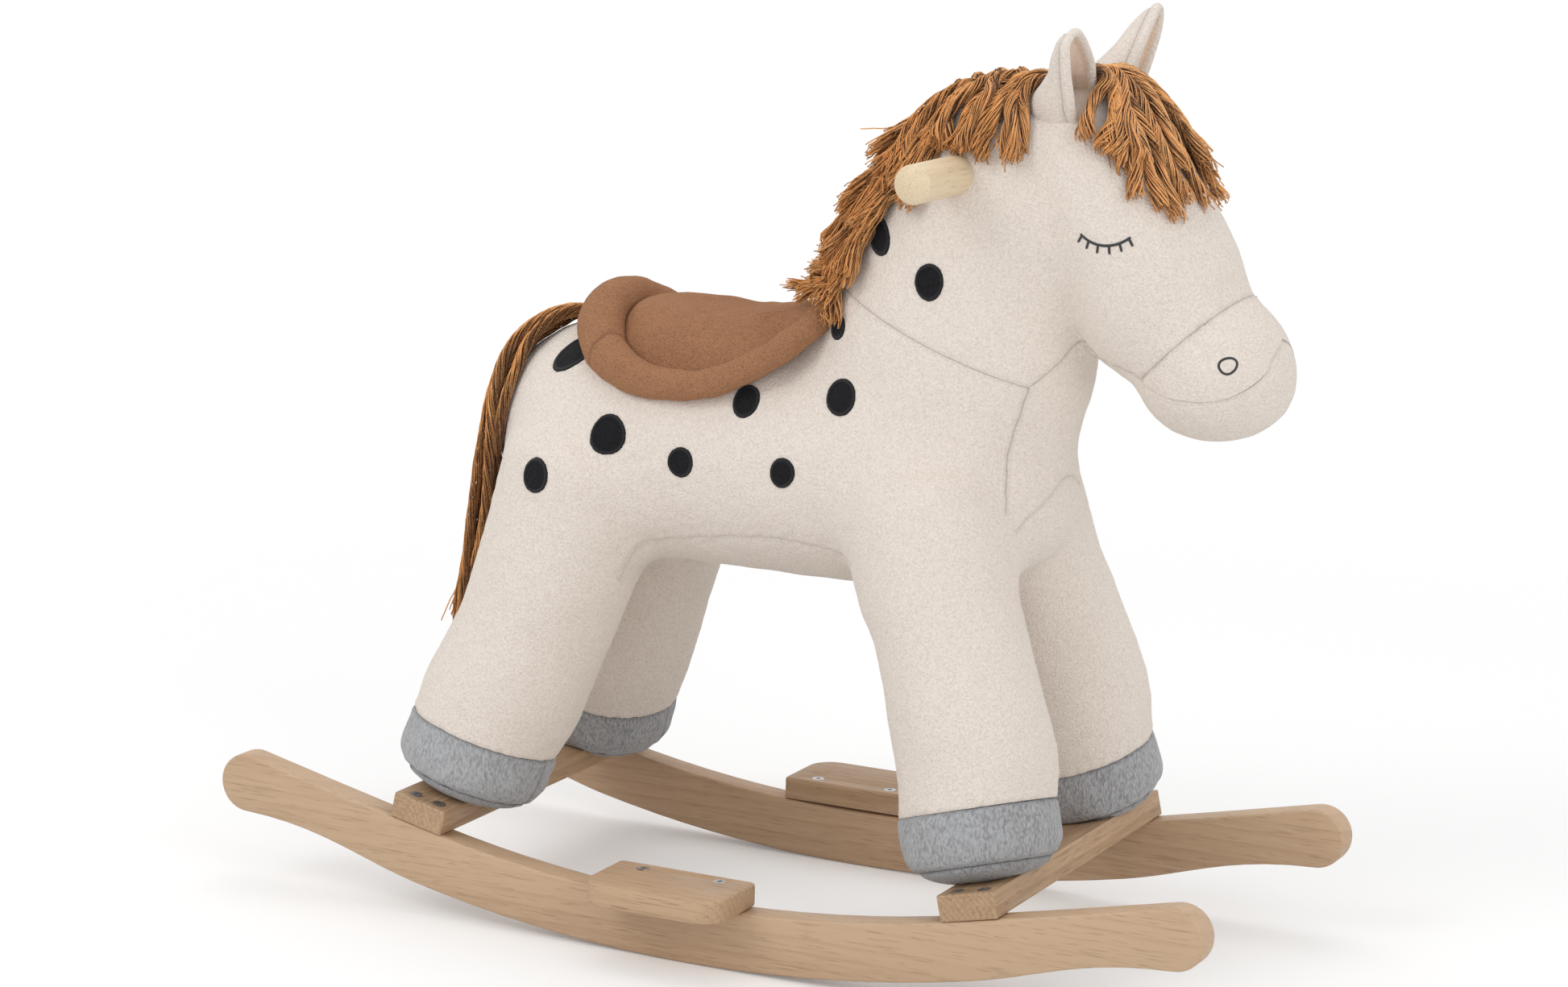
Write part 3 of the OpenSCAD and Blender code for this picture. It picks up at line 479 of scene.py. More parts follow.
def relax(mesh, rounds, hollow_rounds, hollow_weight):
    """Evens out a voxel mesh: first plain smoothing with a push back against shrinking, then smoothing that
    only ever fills hollows, by a weight at each point, which leaves a soft fillet where two forms meet."""
    edges = np.empty(len(mesh.edges) * 2, int)
    mesh.edges.foreach_get("vertices", edges)
    edges = edges.reshape(-1, 2)
    points = points_of(mesh)
    count = len(points)
    for _ in range(rounds):
        points = points + 0.55 * (neighbour_mean(points, edges, count) - points)
        points = points - 0.56 * (neighbour_mean(points, edges, count) - points)
    for turn in range(hollow_rounds):
        if turn % 5 == 0:
            set_points(mesh, points)
            normals = normals_of(mesh)
            weight = hollow_weight(points)[:, None]
        pull = neighbour_mean(points, edges, count) - points
        outward = (pull * normals).sum(1, keepdims=True)
        points = points + weight * (0.5 * (pull - outward * normals) + 0.9 * np.maximum(outward, 0) * normals)
    for _ in range(3):
        points = points + 0.5 * (neighbour_mean(points, edges, count) - points)
        points = points - 0.51 * (neighbour_mean(points, edges, count) - points)
    set_points(mesh, points)


def blunt(u, n, m):
    """1 in the middle, falling to 0 at both ends u = -1 and u = 1; larger n and m make it blunter."""
    return np.maximum(0, 1 - np.abs(u) ** n) ** (1 / m)


AROUND = 72
Y = np.array([0.0, 1.0, 0.0])
TRUNK_HALF_LENGTH, TRUNK_MIDDLE, TRUNK_HALF_HEIGHT, TRUNK_HALF_WIDTH = 203, 311, 80, 89


def trunk_rings():
    """Ellipses on the trunk's axis, square to X, whose size follows a blunt curve along it."""
    u = np.sin(np.linspace(-1, 1, 40) * math.pi / 2)
    middles = np.stack([u * TRUNK_HALF_LENGTH, 0 * u, TRUNK_MIDDLE + 0 * u], -1)
    tall = TRUNK_HALF_HEIGHT * blunt(u, 4.5, 2.3)
    wide = TRUNK_HALF_WIDTH * blunt(u, 4, 2.2)
    return rings_round(middles, tall[:, None] * np.array([0, 0, -1.0]), wide[:, None] * Y, AROUND)


def leaning_rings(rows, count):
    """Ellipses from rows of x, z, half depth, half width and lean in degrees from level."""
    rows = curve_through(rows, count)
    lean = np.radians(rows[:, 4])
    depth = np.maximum(rows[:, 2], 1)[:, None] * np.stack([np.cos(lean), 0 * lean, -np.sin(lean)], -1)
    width = np.maximum(rows[:, 3], 1)[:, None] * Y
    return rings_round(np.stack([rows[:, 0], 0 * lean, rows[:, 1]], -1), depth, width, AROUND)


NECK = [[104, 300, 93, 78, 6], [110, 345, 95, 78, 10], [119, 392, 92, 74, 14], [130, 436, 84, 66, 17],
        [146, 476, 76, 60, 18], [161, 510, 68, 56, 16], [172, 536, 52, 47, 12], [174, 549, 28, 27, 10],
        [173, 553, 6, 6, 10]]
HEAD_START = np.array([150.0, 0.0, 500.0])
HEAD_ALONG = np.array([math.cos(math.radians(46)), 0.0, -math.sin(math.radians(46))])
HEAD_UP = np.array([math.sin(math.radians(46)), 0.0, math.cos(math.radians(46))])
HEAD = [[-14, 50, 22, 28], [6, 50, 44, 49], [42, 47, 50, 57], [81, 39, 53, 58], [118, 29, 56, 54],
        [140, 27, 50, 49], [155, 26, 45, 46], [168, 26, 46.5, 48], [186, 27, 45, 47], [203, 28.5, 38, 40],
        [217, 30.5, 26, 28], [225, 32, 12, 13], [227, 32, 4, 4]]


def head_rings():
    """Ellipses square to the head's own axis, from rows of distance along it, rise, half depth and half
    width."""
    rows = curve_through(HEAD, 60)
    middles = HEAD_START + rows[:, :1] * HEAD_ALONG + rows[:, 1:2] * HEAD_UP
    return rings_round(middles, np.maximum(rows[:, 2:3], 1) * HEAD_UP * -1, np.maximum(rows[:, 3:4], 1) * Y,
                       AROUND)


LEG_FOOT = np.array([190.0, 90.0, 71.62])
LEG_TOP = np.array([127.0, 48.0, 290.0])
LEG_LENGTH = float(np.linalg.norm(LEG_TOP - LEG_FOOT))
LEG_AXIS = (LEG_TOP - LEG_FOOT) / LEG_LENGTH
LEG_RADIUS, HIP_GROWTH = 49.5, 9


def leg_radius(s):
    """Radius at a distance s up a leg: rounded off at the hoof's bottom, 49.5 above it, 9 wider at the hip,
    and closed by a round shoulder inside the trunk."""
    u = np.clip(1 - (s + 0.6) / 30, 0, 1)
    over = np.clip((s - LEG_LENGTH) / 40, 0, 1)
    below = LEG_RADIUS * (1 - u ** 2.6) ** 0.45 + HIP_GROWTH * np.clip(s / LEG_LENGTH, 0, 1) ** 2.5
    return below * np.sqrt(1 - over ** 2)


def leg_frame(front, side):
    """Foot point, axis and two cross directions of one leg; the first cross direction points forwards."""
    flip = np.array([front, side, 1.0])
    axis = LEG_AXIS * flip
    ahead = np.array([1.0, 0, 0]) - axis[0] * axis
    ahead /= np.linalg.norm(ahead)
    return LEG_FOOT * flip, axis, ahead, np.cross(axis, ahead)


# The stuffed legs are not quite straight. Rows for the front legs (1) and the rear ones (-1): distance up the
# leg, then how far it stands forwards and outwards there, and how much its radius grows
LEG_SHAPE = {1: [[40, 0, 0, 0], [48, 1, 0, 0], [69, 5, 1, 0.8], [93, 6.4, 5, -0.5], [118, 5.8, 8, -2.4],
                 [159, 3.2, 9.5, -5.6], [178, -0.8, 8.6, -4.5], [231, -2, 5, -2]],
             -1: [[40, 0, 0, 0], [48, 0.3, -0.2, 0.4], [72, 2.4, -1.5, 3], [97, 6, 0, 0.6], [120, 8.4, 0.5, -1],
                  [150, 9.4, 2.5, -1], [175, 9.4, 3, -1], [231, 8, 2, 0]]}


def leg_rings(front, side, s):
    """Circles near a leg's axis at the distances s from its foot, moved and grown by the leg's shape."""
    foot, axis, ahead, across = leg_frame(front, side)
    at, forwards, outwards, growth = curve_through(LEG_SHAPE[front], 200).T
    r = np.maximum(leg_radius(s) + np.interp(s, at, growth) * (leg_radius(s) > 40), 0.5)[:, None]
    moved = np.stack([np.interp(s, at, forwards), side * np.interp(s, at, outwards), 0 * s], -1)
    return rings_round(foot + s[:, None] * axis + moved, r * ahead, r * across, AROUND)


def stacked(parts):
    """The points and faces of several shapes as one, with the point numbers in each shape's faces moved past
    the points of the shapes before it."""
    points, faces, start = [], [], 0
    for shape, own_faces in parts:
        points.append(shape)
        faces += [[v + start for v in face] for face in own_faces]
        start += len(shape)
    return np.concatenate(points), faces


LEGS = [(1, -1), (1, 1), (-1, -1), (-1, 1)]
s_leg = np.concatenate([30 * (1 - np.cos(np.linspace(0, math.pi / 2, 12))),
                        np.linspace(36, LEG_LENGTH, 24), LEG_LENGTH + 39.6 * np.sin(np.linspace(0.2, 1.5, 8))])
forms = [trunk_rings(), leaning_rings(NECK, 50), head_rings()]
forms += [leg_rings(front, side, s_leg) for front, side in LEGS]
rough = mesh_of("rough", *stacked([closed_skin(rings) for rings in forms]))
VOXEL = 0.004
skin = with_modifiers(rough, ("REMESH", {"mode": "VOXEL", "voxel_size": VOXEL}))


def fillet_weight(points):
    """How much a hollow may fill: fully at the hips and the withers, little at the crease under the jaw and
    where the legs meet the belly and the arch of the chest."""
    jaw = np.linalg.norm((points - np.array([205, 0, 405])) * [1, 0.25, 1], axis=1)
    groin = np.exp(-((points[:, 2] - 246) / 26) ** 2 - ((np.abs(points[:, 0] + 3) - 82) / 26) ** 2)
    arch = np.exp(-((points[:, 2] - 258) / 32) ** 2 - (points[:, 1] / 52) ** 2) * (points[:, 0] > 110)
    return np.clip((jaw - 16) / 40, 0.12, 1) * (1 - 0.8 * np.maximum(groin, arch))


relax(skin, 8, 70, fillet_weight)
# The chest stands back a little between the neck and the legs
points = points_of(skin)
points[:, 0] -= 8 * np.exp(-((points[:, 2] - 327) / 34) ** 2) * np.clip((points[:, 0] - 140) / 45, 0, 1) ** 1.5
set_points(skin, points)

skin = with_modifiers(skin, ("SUBSURF", {"levels": 1, "render_levels": 1}))


def cut_along(shape, values, keep=0):
    """Cuts a bmesh along the zero line of a scalar function: its Z is swapped for the function's value while a
    level plane cuts it, and the true place comes back from stored layers. keep is 1 or -1 for one side only."""
    store = [shape.verts.layers.float.get(key) or shape.verts.layers.float.new(key) for key in "xyz"]
    shape.verts.ensure_lookup_table()
    points = np.array([v.co[:] for v in shape.verts]) / MM
    for vert, place, value in zip(shape.verts, points * MM, values(points) * MM):
        vert[store[0]], vert[store[1]], vert[store[2]] = place
        vert.co.z = value
    bmesh.ops.bisect_plane(shape, geom=shape.verts[:] + shape.edges[:] + shape.faces[:], dist=2e-5,
                           plane_co=(0, 0, 0), plane_no=(0, 0, 1),
                           clear_inner=keep > 0, clear_outer=keep < 0)
    for vert in shape.verts:
        vert.co = [vert[layer] for layer in store]


def close_cuts(shape):
    """Closes every open edge loop by a fan round its middle, which lies inside the stuffing."""
    todo = {edge for edge in shape.edges if edge.is_boundary}
    while todo:
        loop, front = set(), [todo.pop()]
        while front:
            edge = front.pop()
            loop.add(edge)
            for vert in edge.verts:
                for other in vert.link_edges:
                    if other in todo:
                        todo.discard(other)
                        front.append(other)
        rim = {vert for edge in loop for vert in edge.verts}
        middle = shape.verts.new(sum((vert.co for vert in rim), Vector()) / len(rim))
        for edge in loop:
            shape.faces.new([*edge.verts, middle])
    bmesh.ops.recalc_face_normals(shape, faces=shape.faces)


def from_skin(name, cuts):
    """A closed piece of the skin: the part that lies on the kept side of each cut."""
    shape = bmesh.new()
    shape.from_mesh(skin)
    for values, keep in cuts:
        cut_along(shape, values, keep)
    for key in "xyz":
        shape.verts.layers.float.remove(shape.verts.layers.float[key])
    close_cuts(shape)
    mesh = bpy.data.meshes.new(name)
    shape.to_mesh(mesh)
    shape.free()
    return mesh


def lumps(points, size, seed):
    """A soft uneven height of about one unit: fourteen waves of about that length in random directions."""
    draw = np.random.default_rng(seed)
    ways = draw.normal(size=(14, 3))
    ways *= (2 * math.pi / size) * draw.uniform(0.6, 1.6, (14, 1)) / np.linalg.norm(ways, axis=1, keepdims=True)
    return np.cos(points @ ways.T + draw.uniform(0, 2 * math.pi, 14)).sum(1) / 3.7


NECK_SEAM_AT, NECK_SEAM_SLOPE = (79.0, 419.0), math.radians(22)
MUZZLE_SEAM = 156.0
HOOF_HEIGHT = 46.0
CHEST_EDGE = [[240, 60], [297, 57.2], [321, 51.4], [341, 49], [366, 47.8], [376, 46.8], [383.5, 38.3],
              [395, 26], [403, 20.6], [409, 12], [414, 0], [434, -60], [700, -60]]
BELLY_EDGE = [[-83, 225], [-76, 243], [-70, 251], [-62, 253.5], [-40, 258], [-7, 264.5], [28, 267.5], [61, 265],
              [92, 261], [100, 259]]


def neck_seam(p):
    """Height over the slanting plane where the neck is sewn to the trunk."""
    return ((p[:, 0] - NECK_SEAM_AT[0]) * math.sin(NECK_SEAM_SLOPE)
            + (p[:, 2] - NECK_SEAM_AT[1]) * math.cos(NECK_SEAM_SLOPE))


def chest_seam(p):
    """Sideways distance from the edge of the chest panel, which narrows upwards under the jaw."""
    z, half = np.array(CHEST_EDGE, float).T
    slope = np.interp(p[:, 2], (z[1:] + z[:-1]) / 2, np.diff(half) / np.diff(z))
    reach = np.where(p[:, 0] > 140, np.interp(p[:, 2], z, half), -60)
    return (np.abs(p[:, 1]) - reach) / np.sqrt(1 + slope ** 2)


def head_side(p):
    """Above the neck seam, and outside the chest panel."""
    return np.minimum(neck_seam(p), chest_seam(p))


def muzzle_seam(p):
    """Distance along the head's axis past the ring where the muzzle is sewn on."""
    return (p - HEAD_START) @ HEAD_ALONG - MUZZLE_SEAM


def hoof_seam(p):
    """Height up the nearest leg's axis over the ring where the hoof is sewn on."""
    out = np.empty(len(p))
    for front, side in LEGS:
        mine = ((p[:, 0] >= 0) == (front > 0)) & ((p[:, 1] >= 0) == (side > 0))
        foot, axis, _, _ = leg_frame(front, side)
        out[mine] = (p[mine] - foot) @ axis - HOOF_HEIGHT
    return out


def belly_seam(p):
    """Height over the edge of the belly panel, low on both flanks between the legs."""
    x, z = np.array(BELLY_EDGE, float).T
    slope = np.interp(p[:, 0], (x[1:] + x[:-1]) / 2, np.diff(z) / np.diff(x))
    return np.where((np.abs(p[:, 1]) > 30) & (p[:, 0] > -83) & (p[:, 0] < 92) & (p[:, 2] < 300),
                    (p[:, 2] - np.interp(p[:, 0], x, z)) / np.sqrt(1 + slope ** 2), 50)


def breast_seam(p):
    """Height over the arched front end of the belly panel, across the chest between the front legs."""
    across = np.abs(p[:, 1])
    on_chest = (p[:, 0] > 150) & (across < 52) & (p[:, 2] > 240)
    return np.where(on_chest, (p[:, 2] - 314 + 33 * (across / 55) ** 1.5) * 0.85, 50)


def rump_seam(p):
    """Distance from the middle line of the rump, behind the saddle."""
    return np.where((p[:, 0] < -120) & (p[:, 2] > 250), p[:, 1], 50)


def form_of(*meshes):
    """A search tree over the faces of several meshes."""
    points, faces, start = [], [], 0
    for mesh in meshes:
        points += [v.co[:] for v in mesh.vertices]
        faces += [[v + start for v in p.vertices] for p in mesh.polygons]
        start = len(points)
    return BVHTree.FromPolygons(points, faces)


skin_tree = form_of(skin)

# Seams that hardly show carry a distance that never comes down to nothing
FAINT = {"belly_seam": 0.27, "breast_seam": 0.2, "rump_seam": 0.2}
SEAM_DEPTH, SEAM_WIDTH = 0.40, 1.3


def sewn(mesh, seams):
    """Sinks the surface a little along its seams, adds the softness of stuffing, and keeps the distance to the
    nearest seam in the attribute seam, in millimetres."""
    points = points_of(mesh)
    nearest = np.min([np.abs(seam(points)) for seam in seams], axis=0)
    shown = np.min([np.abs(seam(points)) + FAINT.get(seam.__name__, 0.0) for seam in seams], axis=0)
    normals = normals_of(mesh)
    for k in np.flatnonzero(nearest < 0.1):
        normals[k] = skin_tree.find_nearest(Vector(points[k] * MM))[1]
    soft = 0.30 * lumps(points, 46, 3) + 0.12 * lumps(points, 13, 4)
    pucker = 0.35 * lumps(points, 9, 5) * np.exp(-(nearest / 7) ** 2)
    sink = SEAM_DEPTH * np.exp(-(nearest / SEAM_WIDTH) ** 2) + 0.25 * np.exp(-(nearest / 7) ** 2)
    set_points(mesh, points + (soft + pucker - sink)[:, None] * normals)
    keep(mesh, "seam", np.minimum(shown, 40))


def plush(name, colour, shade, pile, height, seam_line_and_shade=0.2, clump=0.0, fuzz=0.25, mottle=0.10,
          part=0.55, lay=1.0):
    """Short pile: a mass of small rounded tufts as bumps, with painted shade where they part, slight wide
    changes of tone, a velvet edge, a thin dark line along each seam (attribute seam, in millimetres) that is
    partly the seam's own line and partly painted shade in its sunk groove, and a wider band of painted shade
    beside each seam."""
    material, tree, shader = new_material(name, Roughness=0.95, Sheen_Weight=fuzz, Sheen_Roughness=0.5,
                                          Specular_IOR_Level=0.15)
    shader.inputs["Sheen Tint"].default_value = (*[min(1, c * 1.3) for c in colour], 1.0)
    at = place_of(tree, scale=(1, 1, lay))
    sway = put(tree, "ShaderNodeTexNoise", {"Vector": at, "Scale": 1 / (1.7 * pile), "Detail": 2.0})
    off = put(tree, "ShaderNodeVectorMath", {0: sway.outputs[1], 1: (0.5, 0.5, 0.5)},
              operation="SUBTRACT").outputs[0]
    off = put(tree, "ShaderNodeVectorMath", {0: off, 3: pile * 1.8}, operation="SCALE").outputs[0]
    bent = put(tree, "ShaderNodeVectorMath", {0: at, 1: off}, operation="ADD").outputs[0]
    tufts = put(tree, "ShaderNodeTexVoronoi", {"Vector": bent, "Scale": 1 / pile},
                feature="SMOOTH_F1").outputs[0]
    dome = between(tree, tufts, 0.1, 0.7, 1.0, 0.0)
    hair = noise(tree, at, 2.6 / pile, 2.0, 0.6)
    wide = noise(tree, at, 13.0, 2.0)
    middle = noise(tree, at, 1 / (7 * pile), 3.0)
    # Painted shade between the tufts: the colour darkens towards shade, by up to part, where the domes fall
    # away.
    amount = between(tree, dome, 0.0, 0.85, part, 0.0)
    for value, share in ((middle, mottle), (wide, mottle), (hair, 0.22)):
        amount = sum_of(tree, "ADD", amount, between(tree, value, 0.3, 0.7, -share, share), clamp=share == 0.22)
    colour_out = blend_colours(tree, amount, colour, shade)
    seam = sum_of(tree, "ABSOLUTE", put(tree, "ShaderNodeAttribute", attribute_name="seam").outputs["Fac"], 0.0)
    wobble = sum_of(tree, "ADD", seam, between(tree, hair, 0.3, 0.7, -0.12, 0.12))
    # A thin dark line along each seam: partly the seam's own line, partly painted shade in its sunk groove.
    line = between(tree, wobble, 0.1, 0.5, seam_line_and_shade, 0.0)
    colour_out = blend_colours(tree, line, colour_out, [0.2 * c for c in shade])
    # Painted shade: a wider soft darkening within 3 mm of each seam, where its crease lies in shade.
    near = between(tree, seam, 0.4, 3.0, 0.4 * seam_line_and_shade, 0.0)
    colour_out = blend_colours(tree, near, colour_out, [0.6 * c for c in shade])
    tree.links.new(colour_out, shader.inputs["Base Color"])
    relief = sum_of(tree, "ADD", dome, sum_of(tree, "MULTIPLY", hair, 0.5))
    relief = sum_of(tree, "ADD", relief, sum_of(tree, "MULTIPLY", middle, clump))
    tree.links.new(bump(tree, relief, height, 0.8), shader.inputs["Normal"])
    return material


fleece = plush("fleece", (0.875, 0.793, 0.722), (0.59, 0.50, 0.425), 0.0012, 0.00054, seam_line_and_shade=0.42,
               clump=0.12, mottle=0.02, part=0.5)
trunk = from_skin("body", [(head_side, -1), (hoof_seam, 1), (chest_seam, 0), (belly_seam, 0),
                           (breast_seam, 0)])


def low_chest_seam(p):
    """The chest panel's edge where both of its sides belong to the trunk."""
    return np.where((p[:, 0] > 140) & (p[:, 2] > 296), chest_seam(p), 50)


sewn(trunk, [head_side, hoof_seam, low_chest_seam, belly_seam, breast_seam, rump_seam])
body = add_piece("body", trunk, fleece,
                 ["body_cover", "body_filling"] + [f"leg_{part}_{end}_{side}" for part in ("cover", "filling")
                                                   for end in ("front", "rear") for side in ("right", "left")])

# The head is sewn to the trunk round the neck and along the chest panel; the muzzle closes its front.
skull = from_skin("head", [(head_side, 1), (muzzle_seam, -1)])
sewn(skull, [head_side, muzzle_seam])
head = add_piece("head", skull, fleece, ["head_cover", "head_filling"])
snout = from_skin("muzzle", [(head_side, 1), (muzzle_seam, 1)])
sewn(snout, [muzzle_seam])
muzzle = add_piece("muzzle", snout, fleece, ["muzzle_cover"])

# ---- Hooves and soles -----------------------------------------------------------------------
# Grey deep-pile plush: a band round the end of each leg and a round sole, drawn down on the slat by
# a bolt, so that the stuffing bulges over the slat's edges. Small puckers stand along the sole's seam.

slat_slope = math.asin(0.198 / 0.9116)
SOLE_SEAM = 11.0
SLAT_HALF = 19.5
hoof_plush = plush("hoof_plush", (0.47, 0.475, 0.485), (0.20, 0.20, 0.21), 0.0013, 0.0008, seam_line_and_shade=0.7,
                   clump=0.9, fuzz=0.45, mottle=0.10, part=0.7, lay=0.42)
sole_plush = plush("sole_plush", (0.43, 0.435, 0.445), (0.18, 0.18, 0.19), 0.0013, 0.0007, seam_line_and_shade=0.7,
                   clump=0.8, fuzz=0.4, mottle=0.10, part=0.7, lay=0.6)


def rest_on_slat(points, front):
    """Lifts points that lie inside the slat onto its upper face, fading out just past its two edges."""
    normal = np.array([-front * math.sin(slat_slope), 0, math.cos(slat_slope)])
    along = np.array([math.cos(slat_slope), 0, front * math.sin(slat_slope)])
    low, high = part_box("front_slat" if front > 0 else "rear_slat")
    slat = points_of(frame["nodes"]["front_slat" if front > 0 else "rear_slat"].data)
    top, middle = (slat @ normal).max(), ((slat @ along).max() + (slat @ along).min()) / 2
    deep = np.maximum(top + 0.25 - points @ normal, 0)
    inside = np.clip((SLAT_HALF + 3.2 - np.abs(points @ along - middle)) / 2.4, 0, 1)
    return points + (deep * inside ** 2 * (3 - 2 * inside))[:, None] * normal


def leg_shell(front, side, s, radius, ends):
    """A closed shell round a leg: circles at distances s up its axis, each with its own radius round the
    circle, closed over both ends."""
    foot, axis, ahead, across = leg_frame(front, side)
    angle = np.linspace(0, 2 * math.pi, 144, endpoint=False)
    high, turn = np.meshgrid(s, angle, indexing="ij")
    r = radius(high, turn)
    r[[0, -1]] = ends
    rings = (foot + high[..., None] * axis + (r * np.cos(turn))[..., None] * ahead
             + (r * np.sin(turn))[..., None] * across)
    return closed_skin(rings)


def puckers(s, turn, seed):
    """Little gathers beside the sole's seam, uneven round the circle."""
    uneven = 0.6 + 0.4 * np.cos(3 * turn + seed) * np.cos(5 * turn + 2 * seed)
    waves = np.cos(17 * turn + 1.7 * np.cos(2 * turn + seed)) * uneven
    return 0.75 * waves * np.exp(-((s - SOLE_SEAM) / 5.0) ** 2)


for front, side in LEGS:
    end = ("front" if front > 0 else "rear") + ("_right" if side < 0 else "_left")
    seed = 1.0 + front + 2.7 * side
    foot, axis, ahead, across = leg_frame(front, side)

    def band(s, turn):
        """The leg's radius, drawn in over 3 mm at both seams, with gathers at the lower one."""
        tuck = 1.7 * np.exp(-((s - HOOF_HEIGHT) / 1.5) ** 2) + 2.2 * np.exp(-((s - SOLE_SEAM) / 1.7) ** 2)
        back = 0.9 * np.exp(-(((turn - math.pi) * 49) / 1.6) ** 2)
        return leg_radius(s) + 0.6 - tuck - back + puckers(s, turn, seed)

    heights = np.concatenate([[SOLE_SEAM], SOLE_SEAM + np.array([0.05, 0.6, 1.2, 2.0, 3.0]),
                              np.linspace(15.5, HOOF_HEIGHT - 3, 13),
                              HOOF_HEIGHT - np.array([2.0, 1.2, 0.6, 0.05, 0.0])])
    points, faces = leg_shell(front, side, heights, band, [[30.0], [30.0]])
    points = rest_on_slat(points, front)
    mesh = mesh_of("hoof_" + end, points, faces)
    above = (points - foot) @ axis
    behind = np.where((points - foot) @ ahead * front < 0, np.abs((points - foot) @ across), 40)
    distance = np.minimum(np.minimum(np.abs(above - HOOF_HEIGHT), np.abs(above - SOLE_SEAM)), behind)
    points = points + (0.45 * lumps(points, 22, 7) * np.clip(distance / 4, 0, 1))[:, None] * normals_of(mesh)
    set_points(mesh, points)
    keep(mesh, "seam", distance)
    hoof = add_piece("hoof_band_" + end, mesh, hoof_plush, ["hoof_" + end])

    def cap(s, turn):
        """The rounded end of the leg under the seam."""
        tuck = 2.2 * np.exp(-((s - SOLE_SEAM) / 1.6) ** 2)
        return np.maximum(leg_radius(s) + 0.5 - tuck + puckers(s, turn, seed + 2), 0.5)

    low = -0.6 + 30 * (1 - np.cos(np.linspace(0.06, 0.86, 12)))
    heights = np.concatenate([[-0.6], low[low < SOLE_SEAM - 1.5], SOLE_SEAM - np.array([1.2, 0.6, 0.05, 0.0])])
    points, faces = leg_shell(front, side, heights, cap, [[1.5], [30.0]])
    points = rest_on_slat(points, front)
    mesh = mesh_of("sole_" + end, points, faces)
    distance = np.abs((points - foot) @ axis - SOLE_SEAM)
    keep(mesh, "seam", distance)
    sole = add_piece("sole_pad_" + end, mesh, sole_plush, ["sole_" + end])

# ---- Ears -----------------------------------------------------------------------------------
# Two leaves of fleece over thin wadding, each folded into a cup that opens forwards, with a seam a
# little inside the rim; the foot is nearly closed and is sewn down on the crown.

EAR_ROWS = curve_through([[193, 20, 536, 25, 16], [196, 28, 546, 23, 16], [202, 37, 556, 18.2, 15.5],
                          [208.5, 45, 568, 14.6, 14.5], [211, 52, 578, 12.4, 12.5], [213, 57.5, 586, 9.8, 10],
                          [214, 61, 591, 6.4, 7], [214.5, 62.5, 593, 0.5, 0.5]], 120)
ear_lining = plush("ear_lining", (0.96, 0.82, 0.70), (0.74, 0.58, 0.46), 0.0011, 0.0003, clump=0.4, mottle=0.06)


def ear_surface(u, beta):
    """The middle of the ear's wall: ellipses about a leaning line, which grow smaller up to the tip. u runs
    from foot to tip, beta from one edge of the opening (-1) round the back (0) to the other (1)."""
    row = np.stack([np.interp(u, np.linspace(0, 1, len(EAR_ROWS)), EAR_ROWS[:, k]) for k in range(5)], -1)
    ahead, over = np.array([0.985, 0.07, -0.14]), np.array([-0.12, 0.82, -0.57])
    angle = beta * np.radians(np.interp(u, [0, 0.2, 0.45, 0.8, 1.0], [162, 134, 108, 92, 84]))
    reach = row[..., 3] * np.cos(angle) - 1.5 * np.abs(beta) ** 4 * np.sin(math.pi * u)
    return row[..., :3] - reach[..., None] * ahead + (row[..., 4] * np.sin(angle))[..., None] * over


